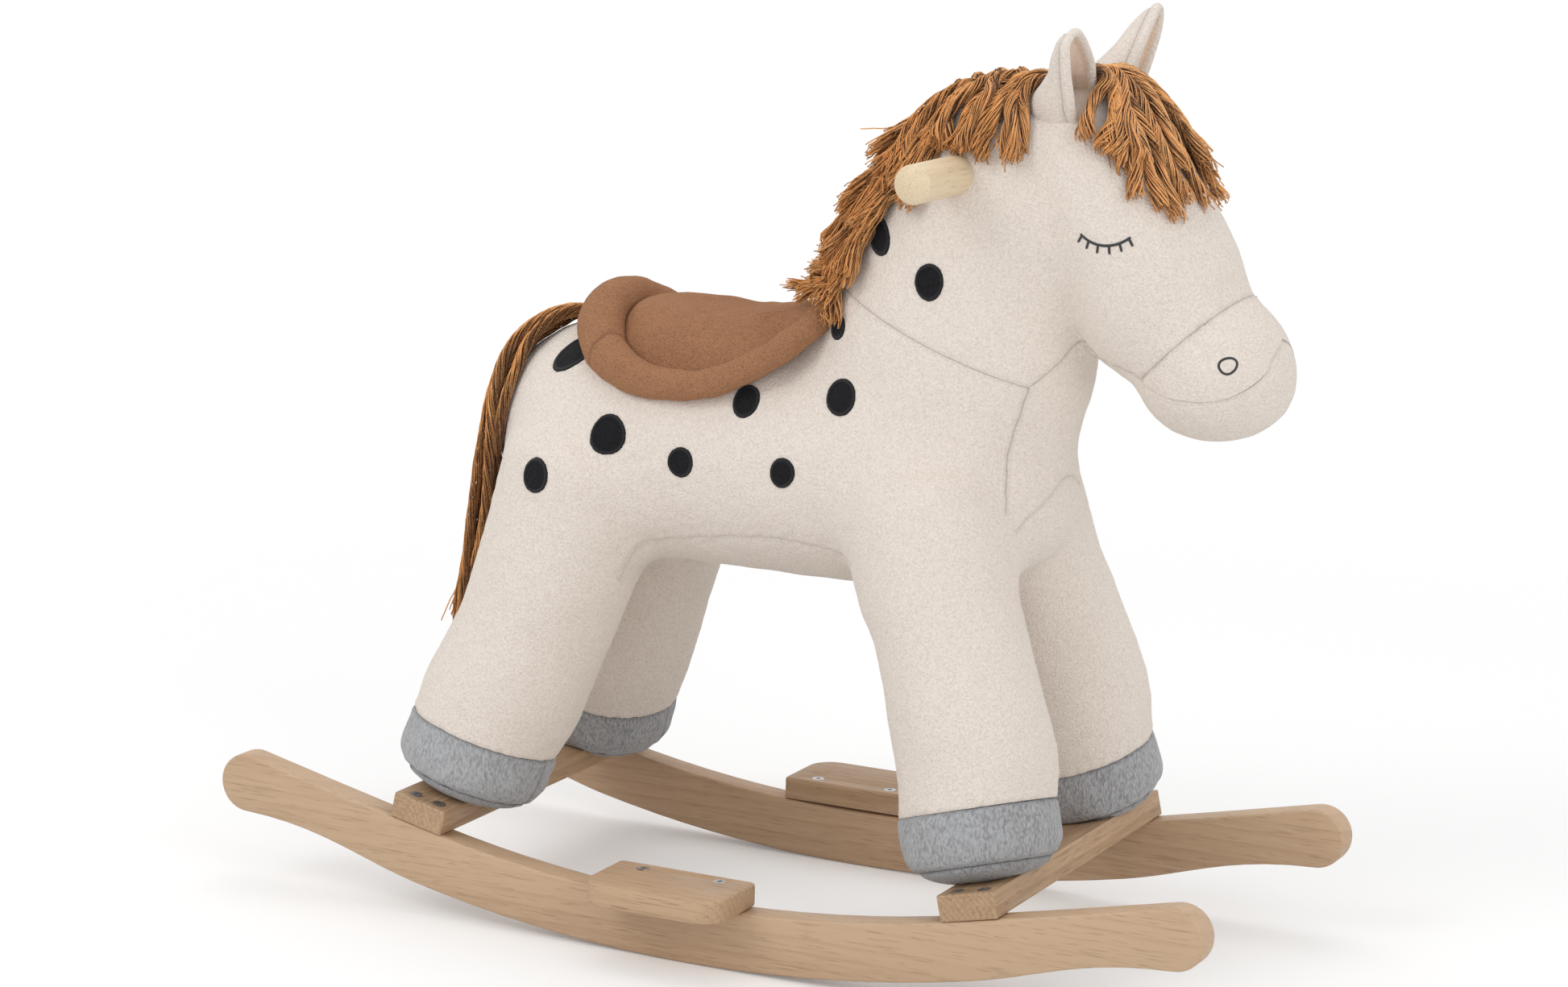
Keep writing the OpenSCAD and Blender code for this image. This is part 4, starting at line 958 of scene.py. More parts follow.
for side in (-1, 1):
    rows, columns = 56, 48
    grid_u = np.sin(np.linspace(0, math.pi / 2, rows))
    grid_b = np.sin(np.linspace(-math.pi / 2, math.pi / 2, columns))
    u, b = np.meshgrid(grid_u, grid_b, indexing="ij")
    middle = ear_surface(u, b)
    step = 1e-3
    down = ear_surface(np.clip(u + step, 0, 1), b) - ear_surface(np.clip(u - step, 0, 1), b)
    sideways = ear_surface(u, b + step) - ear_surface(u, b - step)
    normal = np.cross(down, sideways)
    normal /= np.linalg.norm(normal, axis=-1, keepdims=True) + 1e-12
    if (normal[:30, 20:28] * (middle[:30, 20:28] - middle[:30, :1])).sum() < 0:
        normal = -normal
    arc = np.linalg.norm(np.diff(middle, axis=1, prepend=middle[:, :1]), axis=-1).cumsum(1)
    rim = np.minimum(np.minimum(arc, arc[:, -1:] - arc), (1 - u) * 60)
    puff = 2.0 + 1.0 * np.exp(-((rim - 3.2) / 2.6) ** 2) - 0.9 * np.exp(-((rim - 7.2) / 1.5) ** 2) \
        + 0.5 * np.clip((rim - 9) / 6, 0, 1)
    thick = puff * np.sqrt(np.clip(1 - (1 - np.clip(rim / 2.4, 0, 1)) ** 2, 0.02, 1))
    crease = 0.8 * np.sin(26 * u + 2.5 * b) * np.exp(-((u - 0.30) / 0.09) ** 2)
    outside = middle + normal * thick[..., None]
    inside = middle - normal * (0.8 * thick + crease * np.clip(rim / 8, 0, 1))[..., None]
    points, faces = closed_skin(np.concatenate([outside, inside[:, ::-1]], axis=1))
    perked = np.clip((points[:, 2] - 545) / 50, 0, 1)[:, None] * (side > 0)
    points = (points + perked * [8, 0, 9]) * [1, side, 1]
    name = "ear_" + ("right" if side < 0 else "left")
    mesh = mesh_of(name, points, faces)
    distance = np.concatenate([rim - 7.2, np.full_like(rim, 9.0)], axis=1).ravel()
    lined = np.concatenate([np.zeros_like(rim), np.clip((rim - 2.6) / 1.0, 0, 1)[:, ::-1]], axis=1).ravel()
    keep(mesh, "seam", np.append(distance, [9.0, 9.0]))
    keep(mesh, "lining", np.append(lined, [0.0, 0.0]))
    shape = bmesh.new()
    shape.from_mesh(mesh)
    bmesh.ops.remove_doubles(shape, verts=shape.verts, dist=2e-5)
    bmesh.ops.recalc_face_normals(shape, faces=shape.faces)
    shape.to_mesh(mesh)
    shape.free()
    mesh.materials.append(fleece)
    mesh.materials.append(ear_lining)
    marks = np.zeros(len(mesh.vertices), np.float32)
    mesh.attributes["lining"].data.foreach_get("value", marks)
    inner = [min(marks[v] for v in p.vertices) > 0.5 for p in mesh.polygons]
    ear = add_piece(name + "_cup", mesh, None, [name])
    mesh.polygons.foreach_set("material_index", np.array(inner, np.int32))

# ---- Saddle ---------------------------------------------------------------------------------
# Brown short-pile plush: a crowned oval pad on the back, ringed by a thick stuffed roll whose two
# ends are sewn together behind the rider's right leg. Both are swollen by a cloth simulation.

saddle_plush = plush("saddle_plush", (0.42, 0.212, 0.111), (0.18, 0.082, 0.041), 0.0010, 0.0006, seam_line_and_shade=0.75,
                     clump=0.2, fuzz=0.30, mottle=0.05, part=0.6)
skin_form = bpy.data.objects.new("skin_form", skin)
bpy.context.scene.collection.objects.link(skin_form)
SWELL_FRAMES = 20
SWELL_VOXEL, SWELL_PRESSURE = 0.004, 4.0
CLEAR_OF_SKIN = 0.0004


def swollen(mesh, voxel, pressure, cap):
    """The mesh after it has been remeshed and blown up as cloth, without gravity: no point ends further than
    the cap, in millimetres, from where it began. The result is subdivided once."""
    start = with_modifiers(mesh, ("REMESH", {"mode": "VOXEL", "voxel_size": voxel}))
    before = points_of(start)
    holder = bpy.data.objects.new("swelling", start)
    bpy.context.scene.collection.objects.link(holder)
    cloth = holder.modifiers.new("cloth", "CLOTH")
    cloth.settings.use_pressure = True
    cloth.settings.uniform_pressure_force = pressure
    cloth.settings.effector_weights.gravity = 0.0
    cloth.settings.quality = 5
    cloth.settings.mass = 0.3
    cloth.settings.tension_stiffness = 20
    cloth.settings.compression_stiffness = 20
    cloth.settings.shear_stiffness = 10
    cloth.settings.bending_stiffness = 0.8
    cloth.point_cache.frame_start = 1
    cloth.point_cache.frame_end = SWELL_FRAMES
    for number in range(1, SWELL_FRAMES + 1):
        bpy.context.scene.frame_set(number)
    graph = bpy.context.evaluated_depsgraph_get()
    swelled = bpy.data.meshes.new_from_object(holder.evaluated_get(graph))
    after = points_of(swelled)
    bpy.data.objects.remove(holder)
    bpy.context.scene.frame_set(1)
    moved = after - before
    far = np.linalg.norm(moved, axis=1, keepdims=True)
    before = before + moved * np.minimum(1, cap / np.maximum(far, 1e-9))
    set_points(start, before)
    return with_modifiers(start, ("SUBSURF", {"levels": 1, "render_levels": 1}))


def pushed_off(mesh, target, clearance):
    """The mesh with any point inside the target form moved out to that clearance from it."""
    return with_modifiers(mesh, ("SHRINKWRAP", {"target": target, "wrap_method": "NEAREST_SURFACEPOINT",
                                                "wrap_mode": "OUTSIDE", "offset": clearance}))


def seam_layer(mesh, distance):
    """Keeps a distance to the nearest seam, in millimetres, for the plush."""
    layer = mesh.attributes.get("seam") or mesh.attributes.new("seam", "FLOAT", "POINT")
    layer.data.foreach_set("value", np.asarray(distance, np.float32))


def heights_of(x, y):
    """How high the skin is above each x, y, looking straight down."""
    down = Vector((0, 0, -1))
    hits = [skin_tree.ray_cast(Vector((a * MM, b * MM, 0.8)), down)[0] for a, b in zip(x.ravel(), y.ravel())]
    return np.array([h.z / MM for h in hits]).reshape(x.shape)


def closed_faces(count, around):
    """The four-sided faces between rings of points that follow each other round in a closed loop."""
    i, j = np.meshgrid(np.arange(count), np.arange(around), indexing="ij")
    after, beside = (i + 1) % count, (j + 1) % around
    return np.stack([i * around + j, i * around + beside, after * around + beside, after * around + j],
                    -1).reshape(-1, 4).tolist()


ROLL_LINE = [[-125, 0, 396, 17.5], [-119, 36, 387, 17.5], [-100, 62, 371, 16], [-66, 77, 360, 13],
             [-26, 80, 361, 11], [8, 76, 374, 10.5], [34, 64, 393, 10.3], [50, 43, 413, 10.3],
             [56, 0, 426, 10.3]]
ring_rows = [[x, -y, z, r] for x, y, z, r in ROLL_LINE] + ROLL_LINE[-2:0:-1]
wrapped = ring_rows[-2:] + ring_rows + ring_rows[:3]
line = curve_through(wrapped, (len(wrapped) - 1) * 20 + 1)[40:-40][:-1]
line, line_radius = line[:, :3], line[:, 3]

forward = np.roll(line, -1, 0) - np.roll(line, 1, 0)
forward /= np.linalg.norm(forward, axis=1, keepdims=True)
outward = np.cross(forward, [0, 0, 1.0])
outward /= np.linalg.norm(outward, axis=1, keepdims=True)
lift = np.cross(outward, forward)
count, around = len(line), 32
rings = rings_round(line, (line_radius - 1.2)[:, None] * outward, (line_radius - 1.2)[:, None] * lift, around)
ring = swollen(mesh_of("ring", rings.reshape(-1, 3), closed_faces(count, around)), SWELL_VOXEL, SWELL_PRESSURE,
               2.0)
points = points_of(ring)
joint = np.array([-99.0, -63.0, 369.0])
across = np.array([0.79, -0.61, -0.12])
across /= np.linalg.norm(across)
from_joint = np.where(np.linalg.norm(points - joint, axis=1) < 34, (points - joint) @ across, 20)
ring_normals = normals_of(ring)
wrinkle = 0.5 * lumps(points, 34, 12) + 0.25 * lumps(points, 12, 13) * np.exp(-(from_joint / 14) ** 2)
sink = 0.8 * np.exp(-(from_joint / 1.4) ** 2) + 0.4 * np.exp(-(from_joint / 6) ** 2)
set_points(ring, points + (wrinkle - sink)[:, None] * ring_normals)
ring = pushed_off(ring, skin_form, CLEAR_OF_SKIN)
seam_layer(ring, from_joint)
roll_piece = add_piece("saddle_roll_ring", ring, saddle_plush, ["saddle_roll"])

# The pad fills the ring of the roll and meets it in a groove: its outline is the roll's line, drawn in all
# round, a little more at the rear
PAD_MIDDLE = np.array([-34.0, 0.0])
bearing = np.arctan2(line[:, 1], line[:, 0] - PAD_MIDDLE[0])
order = np.argsort(bearing)
rho, theta = np.meshgrid(np.linspace(0.004, 1, 30) ** 0.8, np.linspace(-math.pi, math.pi, 120, endpoint=False),
                         indexing="ij")
drawn_in = np.interp(line[:, 0], [-125, -100, -72, 60], [10.0, 9.0, 8.5, 8.0])
reach = np.interp(theta, bearing[order], (np.hypot(line[:, 0] - PAD_MIDDLE[0], line[:, 1]) - drawn_in)[order],
                  period=2 * math.pi)
pad_x = PAD_MIDDLE[0] + reach * rho * np.cos(theta)
pad_y = reach * rho * np.sin(theta)
ground = heights_of(pad_x, pad_y)
crown = 12.0 + 5.0 * np.clip(1 - rho ** 3.0, 0, 1) ** 0.8
top = np.minimum(ground + crown, np.interp(pad_x, [-110, -74, -40, -20, 0, 20], [402, 399, 396, 398, 402, 406]))
meets = np.minimum(line[:, 2] + line_radius * np.interp(line[:, 0], [-112, -80], [-0.25, 0.12]), 404)
meets = np.interp(theta, bearing[order], meets[order], period=2 * math.pi)
share = np.clip((rho - 0.80) / 0.20, 0, 1) ** 1.7
top = (1 - share) * top + share * meets
over = np.stack([pad_x, pad_y, top], -1)
low = np.minimum((1 - share) * (ground + 0.4) + share * (meets - 6), top - 3)
under = np.stack([pad_x, pad_y, low], -1)
points, faces = closed_skin(np.concatenate([over, under[::-1]]))
pad = swollen(mesh_of("pad", points, faces), SWELL_VOXEL, SWELL_PRESSURE, 3.0)
points = points_of(pad)
for x, y, deep, wide in ((-22, -34, 2.6, 13), (-48, -28, 1.8, 11), (2, -20, 1.6, 10), (-30, 24, 2.0, 13),
                         (-66, 6, 1.5, 12)):
    near = np.hypot(points[:, 0] - x, points[:, 1] - y)
    points[:, 2] -= deep * np.exp(-(near / wide) ** 2) * (points[:, 2] > 380)
set_points(pad, points + (0.35 * lumps(points, 30, 11))[:, None] * normals_of(pad))
pad = pushed_off(pad, skin_form, CLEAR_OF_SKIN)


def gap_to(mesh, other):
    """How far each point of a mesh is from the surface of another, in millimetres."""
    tree = form_of(other)
    return np.array([tree.find_nearest(v.co)[3] for v in mesh.vertices]) / MM


# Painted shade: the seam distance on the pad is its gap to the roll, and on the roll also its gap to the pad,
# so the plush darkens the groove where they meet; the roll's joint keeps its own seam line.
seam_layer(pad, gap_to(pad, ring))
seam_layer(ring, np.minimum(np.abs(from_joint), gap_to(ring, pad)))
pad_piece = add_piece("saddle_pad", pad, saddle_plush, ["saddle_seat"])

# ---- Mane -----------------------------------------------------------------------------------
# Caramel cotton yarn: long twisted ropes sewn down over the crest behind the ears, with loops between
# them, and below them short fringe in overlapping tiers. The cut ends are frayed and a few threads stray.

yarn, tree, shader = new_material("yarn", Roughness=0.85, Sheen_Weight=0.15, Sheen_Roughness=0.5,
                                  Specular_IOR_Level=0.2)
# The tone attribute holds each thread's own random tone together with painted shade inside and under each rope;
# it sets the colour between near-black and bright caramel.
tone = put(tree, "ShaderNodeAttribute", attribute_name="tone").outputs["Fac"]
tip = put(tree, "ShaderNodeAttribute", attribute_name="tip").outputs["Fac"]
fibre = noise(tree, place_of(tree), 1500.0, 2.0)
shade = blend_colours(tree, sum_of(tree, "ADD", tone, between(tree, fibre, 0.3, 0.7, -0.25, 0.25), clamp=True),
                      (0.085, 0.028, 0.007), (1.0, 0.50, 0.185))
shade = blend_colours(tree, sum_of(tree, "MULTIPLY", tip, 0.55), shade, (0.84, 0.40, 0.13))
tree.links.new(shade, shader.inputs["Base Color"])
tree.links.new(bump(tree, fibre, 0.00012, 0.6), shader.inputs["Normal"])

THREAD, STEP = 0.47, 2.8   # a thread's radius, and the distance between its rings
PIECE_LIMIT = 190000       # triangles
STRIDE, STRIDES = 3.0, 90  # how far one step of a laid path goes, and how many steps it may take


def spun(paths, thick, tone, tip):
    """Thin tubes with three sides along many threads at once. paths is threads x nodes x 3; thick, tone and tip
    are given at each node. Each ring stands square to its thread; both ends are drawn in and closed."""
    threads, nodes, _ = paths.shape
    ahead = np.gradient(paths, axis=1)
    ahead /= np.linalg.norm(ahead, axis=2, keepdims=True) + 1e-9
    guide = np.where(np.abs(ahead[..., :1]) < 0.8, [1.0, 0, 0], [0, 0, 1.0])
    first = np.cross(ahead, guide)
    first /= np.linalg.norm(first, axis=2, keepdims=True) + 1e-9
    second = np.cross(ahead, first)
    angle = np.arange(3) * 2 * math.pi / 3
    r = thick[..., None, None]
    rings = (paths[:, :, None] + r * np.cos(angle)[:, None] * first[:, :, None]
             + r * np.sin(angle)[:, None] * second[:, :, None])
    points = rings.reshape(-1, 3)
    t, i, j = np.meshgrid(np.arange(threads), np.arange(nodes - 1), np.arange(3), indexing="ij")
    base = (t * nodes + i) * 3
    k = (j + 1) % 3
    sides = np.stack([base + j, base + k, base + 3 + k, base + 3 + j], -1).reshape(-1, 4)
    first_ring = np.arange(threads) * nodes * 3
    last_ring = first_ring + (nodes - 1) * 3
    caps = np.concatenate([first_ring[:, None] + [2, 1, 0], last_ring[:, None] + [0, 1, 2]])
    return points, sides.tolist() + caps.tolist(), np.repeat(tone.ravel(), 3), np.repeat(tip.ravel(), 3)


def smooth_noise(draw, count, nodes, waves, size):
    """A slow random drift in three directions for each thread: a few sines with random phases."""
    s = np.linspace(0, 1, nodes)
    out = np.zeros((count, nodes, 3))
    for w in waves:
        phase = draw.uniform(0, 2 * math.pi, (count, 1, 3))
        out += np.sin(2 * math.pi * w * s[None, :, None] + phase) * draw.uniform(0.4, 1, (count, 1, 3))
    return out * size / len(waves)


def rope(draw, path, normals, half=(4.5, 4.1), threads=34, pitch=75.0, fray=16.0, spread=3.0, taper=0.0):
    """Threads wound round a path: an outer layer and a looser inner one turn slowly about it in a section that
    is flattened against the surface, and over the last stretch each thread drifts off on its own. Each thread's
    tone
    holds painted shade: darker in the inner layer and under the rope, lighter on its top."""
    length = np.linalg.norm(np.diff(path, axis=0), axis=1).sum()
    nodes = max(int(length / STEP), 6)
    at = np.linspace(0, len(path) - 1, nodes)
    i = np.minimum(at.astype(int), len(path) - 2)
    f = (at - i)[:, None]
    path, normals = path[i] * (1 - f) + path[i + 1] * f, normals[i] * (1 - f) + normals[i + 1] * f
    ahead = np.gradient(path, axis=0)
    ahead /= np.linalg.norm(ahead, axis=1, keepdims=True)
    upright = normals - (normals * ahead).sum(1, keepdims=True) * ahead
    upright /= np.linalg.norm(upright, axis=1, keepdims=True) + 1e-9
    sideways = np.cross(ahead, upright)
    s = np.linspace(0, length, nodes)
    outer = int(threads * 0.64)
    start = np.concatenate([np.arange(outer) * 2 * math.pi / outer,
                            np.arange(threads - outer) * 2 * math.pi / (threads - outer)])
    start = start + draw.normal(0, 0.12, threads)
    ring = np.concatenate([np.full(outer, 1.0), np.full(threads - outer, 0.5)])
    ring = ring * draw.uniform(0.9, 1.06, threads)
    way = draw.choice([-1, 1])
    turn = start[:, None] + way * 2 * math.pi * s[None] / pitch
    # Known fault: with a fray of 0, as the loops on the crest have, the next line divides nothing by nothing
    # at the last point, and the points at the ends of those threads are not numbers
    loose = np.clip((s - (length - fray)) / fray, 0, 1)
    gather = 1 - 0.22 * np.exp(-((s - (length - fray)) / 7) ** 2) if fray > 0 else 1
    swell = gather * (1 + 0.35 * loose) * (1 - taper * s / length) * np.clip(0.3 + s / 12, 0, 1)
    a, b = (half[0] - THREAD) * swell, (half[1] - THREAD) * swell
    paths = (path[None] + (ring[:, None] * np.cos(turn) * a)[..., None] * sideways[None]
             + (ring[:, None] * np.sin(turn) * b)[..., None] * upright[None])
    paths = paths + smooth_noise(draw, threads, nodes, [length / 26, length / 11], 0.22)
    paths = paths + smooth_noise(draw, threads, nodes, [length / 9, length / 7], 0.9) * loose[None, :, None]
    drift = draw.normal(0, 1, (threads, 1, 3)) * spread
    drift = drift * draw.choice([1.0, 2.6], (threads, 1, 1), p=[0.96, 0.04])
    drift = drift + spread * 0.5 * smooth_noise(draw, threads, nodes, [1.3], 1.0)
    drift -= np.minimum((drift * normals[None]).sum(2, keepdims=True) + 0.3 * spread, 0) * normals[None]
    paths = paths + drift * (loose ** 1.7)[None, :, None]
    cut = 1 - np.abs(draw.normal(0, 0.035, threads))
    at = np.arange(nodes)[None] * cut[:, None]
    i = np.minimum(at.astype(int), nodes - 2)
    f = (at - i)[..., None]
    row = np.arange(threads)[:, None]
    paths = paths[row, i] * (1 - f) + paths[row, i + 1] * f
    thick = np.full((threads, nodes), THREAD) * draw.uniform(0.85, 1.12, (threads, 1))
    thick[:, 0] *= 0.5
    thick[:, -1] *= 0.9
    # Each thread's tone: a random tone of its own and a slow change along it, with painted shade, darker for
    # the inner layer and where the thread turns under the rope, lighter on the rope's top.
    light = draw.normal(0.52, 0.24, (threads, 1)) - 0.42 * (ring < 0.7)[:, None]
    tone = light + 0.16 * np.sin(s[None] / draw.uniform(1.6, 3.5, (threads, 1)) + start[:, None] * 5)
    tone = np.clip(tone * (0.30 + 1.35 * np.clip(0.38 + 0.65 * np.sin(turn), 0, 1)), 0, 1)
    return paths, thick, tone, np.repeat((loose ** 0.8)[None], threads, 0)


class Yarn:
    """Gathers threads into one mesh, and starts a new piece before it grows past its share of triangles."""

    def __init__(self, name, body, node, slot):
        self.name, self.body, self.node, self.slot = name, body, node, slot
        self.parts, self.size, self.made = [], 0, []

    def add(self, paths, thick, tone, tip):
        part = spun(paths, thick, tone, tip)
        if self.size + 2 * len(part[1]) > PIECE_LIMIT:
            self.finish()
        self.parts.append(part)
        self.size += 2 * len(part[1])

    def finish(self):
        name = f"{self.name}_{len(self.made) + 1}"
        mesh = mesh_of(name, *stacked([part[:2] for part in self.parts]), outward=False)
        for key, place in (("tone", 2), ("tip", 3)):
            keep(mesh, key, np.concatenate([part[place] for part in self.parts]))
        self.made.append(add_piece(name, mesh, yarn, [self.node], self.body, sharp=None))
        self.parts, self.size = [], 0


def laid(form, root, heading, length, pull, low, high, draw, grip=0.25, wander=0.10, target=None):
    """A path that starts at a root and follows the surface for a length, or until it is near its target. At
    each step it turns a little towards the pull or the target, and stands off by a height that goes from low
    to high."""
    place, way = np.array(root, float), np.array(heading, float)
    way /= np.linalg.norm(way)
    sway = draw.normal(0, wander, 3)
    path, normals, gone = [], [], 0.0
    for n in range(STRIDES):
        hit, normal, _, _ = form.find_nearest(Vector(place * MM))
        hit, normal = np.array(hit) / MM, np.array(normal)
        stand = low + (high - low) * min(gone / length, 1.0) ** 0.8
        off = place - hit
        gap = off @ normal
        if gap < stand:
            place = place + (stand - gap) * normal * (1.0 if gap < 0.6 * stand else 0.7)
        elif gap > stand + 0.5:
            place = place - min(gap - stand, 1.6) * off / (np.linalg.norm(off) + 1e-9)
        gone += np.linalg.norm(place - path[-1]) if path else 0.0
        path.append(place.copy())
        normals.append(normal)
        if gone > length or target is not None and np.linalg.norm(place - target) < high + 2.5:
            break
        aimed = np.array(pull, float) if target is None else np.array(target, float) - place
        aimed = aimed / (np.linalg.norm(aimed) + 1e-9)
        if n % 4 == 3:
            sway = draw.normal(0, wander, 3)
        way = (1 - grip) * way + grip * aimed + sway * 0.4
        way = way - (way @ normal) * normal
        way /= np.linalg.norm(way) + 1e-9
        place = place + STRIDE * way
    path, normals = np.array(path), np.array(normals)
    for _ in range(2):
        path[1:-1] = 0.5 * path[1:-1] + 0.25 * (path[:-2] + path[2:])
        normals[1:-1] = 0.5 * normals[1:-1] + 0.25 * (normals[:-2] + normals[2:])
    return path, normals


draw = np.random.default_rng(20)
ears = [bpy.data.objects[f"ear_{side}_cup"].data for side in ("right", "left")]
neck_form = form_of(skin, ring, pad, *ears)
CREST = curve_through([[190, 558], [176, 562], [161, 562], [140, 560], [117, 553],
                       [96, 532], [72, 500], [57, 470], [48, 445], [44, 428]], 200)


def crest_at(row):
    """The point of the skin's crest at one row of the line, and the direction square to it."""
    hit, normal, _, _ = skin_tree.find_nearest(Vector((row[0] * MM, 0, row[1] * MM)))
    return np.array(hit) / MM, np.array(normal)


mane = Yarn("mane_yarn", "horse", "mane", slot_of["mane"])
# Short fringe: each tier starts across the neck and lies over the roots of the one below it
for tier, level in enumerate([430, 446, 474, 503, 533]):
    root, normal = crest_at(CREST[np.abs(CREST[100:, 1] - level).argmin() + 100])
    for row in (0, 1):
        for y in np.arange(-52, 53, 7.4) + 3.7 * row:
            y = y + draw.uniform(-1.5, 1.5)
            wide = max(abs(y) - 14, 0)
            start = root + np.array([0.62 * wide, y, -0.20 * wide + 5 * row]) + normal * 2
            hit, n2, _, _ = skin_tree.find_nearest(Vector(start * MM))
            start = np.array(hit) / MM + (3 + 3 * row) * np.array(n2)
            pull = [-0.42 + draw.uniform(-.2, .2), 0.22 * np.sign(y) * min(1, abs(y) / 30), -1.0]
            length = draw.uniform(38, 47) * (1.0 if tier > 1 else 0.8 if abs(y) < 24 else 0.62)
            out_by = draw.uniform(9, 12) if abs(y) > 26 else draw.uniform(13, 17)
            path, normals = laid(neck_form, start, [-0.9, 0.02 * y, -0.5], length, pull, 2.5 + 3.0 * row,
                                 out_by + 2.0 * row, draw, grip=0.2, wander=0.24)
            mane.add(*rope(draw, path, normals, half=(5.2, 3.2), threads=26, pitch=150, fray=26,
                           spread=draw.uniform(1.4, 2.2)))
# Long ropes: where each leaves the crest, and where its end lies on the side of the neck
LONG_ROPES = [[(182, 184, 516), (174, 173, 516), (166, 163, 516), (158, 152, 515), (149, 141, 514),
               (141, 129, 518), (133, 117, 520), (126, 106, 518), (118, 96, 508), (110, 87, 500),
               (102, 79, 494)],
              [(180, 181, 505), (173, 168, 508), (165, 160, 521), (160, 146, 507), (152, 137, 512),
               (150, 107, 530), (140, 121, 517), (131, 108, 519), (123, 93, 505), (114, 84, 499),
               (107, 77, 489)]]
for layer, (low, high) in enumerate(((4.0, 4.6), (7.5, 9.5))):
    for leaves, end_x, end_z in LONG_ROPES[layer][::1 + layer]:
        for side in (-1, 1):
            shift = draw.uniform(-2, 2, 3) + ([0, 0, 0] if side < 0 else draw.uniform(-4, 4, 3))
            root, normal = crest_at([leaves + shift[0], 565 - 0.004 * max(150 - leaves, 0) ** 2])
            start = root + np.array([0, -side * draw.uniform(2, 7), 0]) + normal * (4.0 + 3.5 * layer)
            hit, n2, _, _ = skin_tree.find_nearest(Vector(((end_x + shift[1]) * MM, side * 0.075,
                                                            (end_z + shift[2]) * MM)))
            end = np.array(hit) / MM + high * np.array(n2)
            path, normals = laid(neck_form, start, [0.15 * (end_x - leaves) / 20, side * 1.0, 0.1], 125, None,
                                 low, high, draw, grip=0.22, wander=0.17, target=end)
            mane.add(*rope(draw, path, normals, pitch=draw.uniform(50, 90), fray=draw.uniform(14, 26),
                           spread=draw.uniform(0.9, 1.7)))
# Loops that stand up between the ropes along the crest
for along in (187, 180, 168, 155, 140, 124, 110):
    root, normal = crest_at([along, 565 - 0.004 * max(150 - along, 0) ** 2])
    bend = np.linspace(-0.35, math.pi + 0.35, 16)
    lean = draw.uniform(-0.5, 0.5)
    path = (root + 3.0 * normal + np.outer(np.cos(bend) * 7.5, [lean, math.sqrt(1 - lean ** 2), 0])
            + np.outer(np.sin(bend) * 7.0, normal))
    mane.add(*rope(draw, path, np.tile(normal + [0.3, 0, 0], (16, 1)), half=(4.2, 3.6), fray=0.0, pitch=45))
mane.finish()

# ---- Forelock -------------------------------------------------------------------------------
# The same yarn: ropes sewn down between the ears fall forwards over the forehead in layers.

forelock = Yarn("forelock_yarn", "horse", "forelock", slot_of["forelock"])
head_form = form_of(skin, *ears)
# Where the ropes of the three layers end on the forehead
FORELOCK = [[(264, -42, 485), (270, -41, 478), (277, -36, 476), (284, -24, 477), (288, -10, 480),
             (288, 6, 482), (283, 20, 484), (274, 32, 487), (262, 42, 494)],
            [(243, -48, 505), (249, -47, 502), (258, -44, 493), (268, -36, 484), (279, -22, 486),
             (283, -4, 489), (281, 12, 492), (270, 28, 495), (250, 42, 505)],
            [(222, -51, 520), (227, -53, 513), (234, -50, 515), (241, -47, 510), (255, -38, 505),
             (267, -20, 501), (272, 0, 503), (268, 18, 504), (240, 46, 511), (226, 50, 518)]]
for layer, (low, high) in enumerate(((3.2, 3.4), (4.8, 5.4), (6.4, 7.4))):
    for n, end in enumerate(FORELOCK[layer]):
        if layer < 2 and n % 2:
            continue
        share = (n + 0.5) / len(FORELOCK[layer]) - 0.5
        start = np.array([203 + draw.uniform(-3, 3), 30 * share, 572 - 4 * abs(share)])
        hit, normal, _, _ = skin_tree.find_nearest(Vector(start * MM))
        start = np.array(hit) / MM + (low + 1) * np.array(normal)
        hit, normal, _, _ = skin_tree.find_nearest(Vector((np.array(end) + draw.uniform(-2, 2, 3)) * MM))
        end = np.array(hit) / MM + high * np.array(normal)
        path, normals = laid(head_form, start, [1.0, 1.1 * share, 0.1], 120, None, low, high, draw, grip=0.25,
                             wander=0.15, target=end)
        forelock.add(*rope(draw, path, normals, pitch=draw.uniform(55, 90), fray=draw.uniform(16, 26),
                           spread=draw.uniform(0.9, 1.7)))
forelock.finish()

# ---- Tail -----------------------------------------------------------------------------------
# The same yarn: seven long ropes sewn to the rump and left to hang; they end one after another, so
# the tail thins out to a few frayed threads.

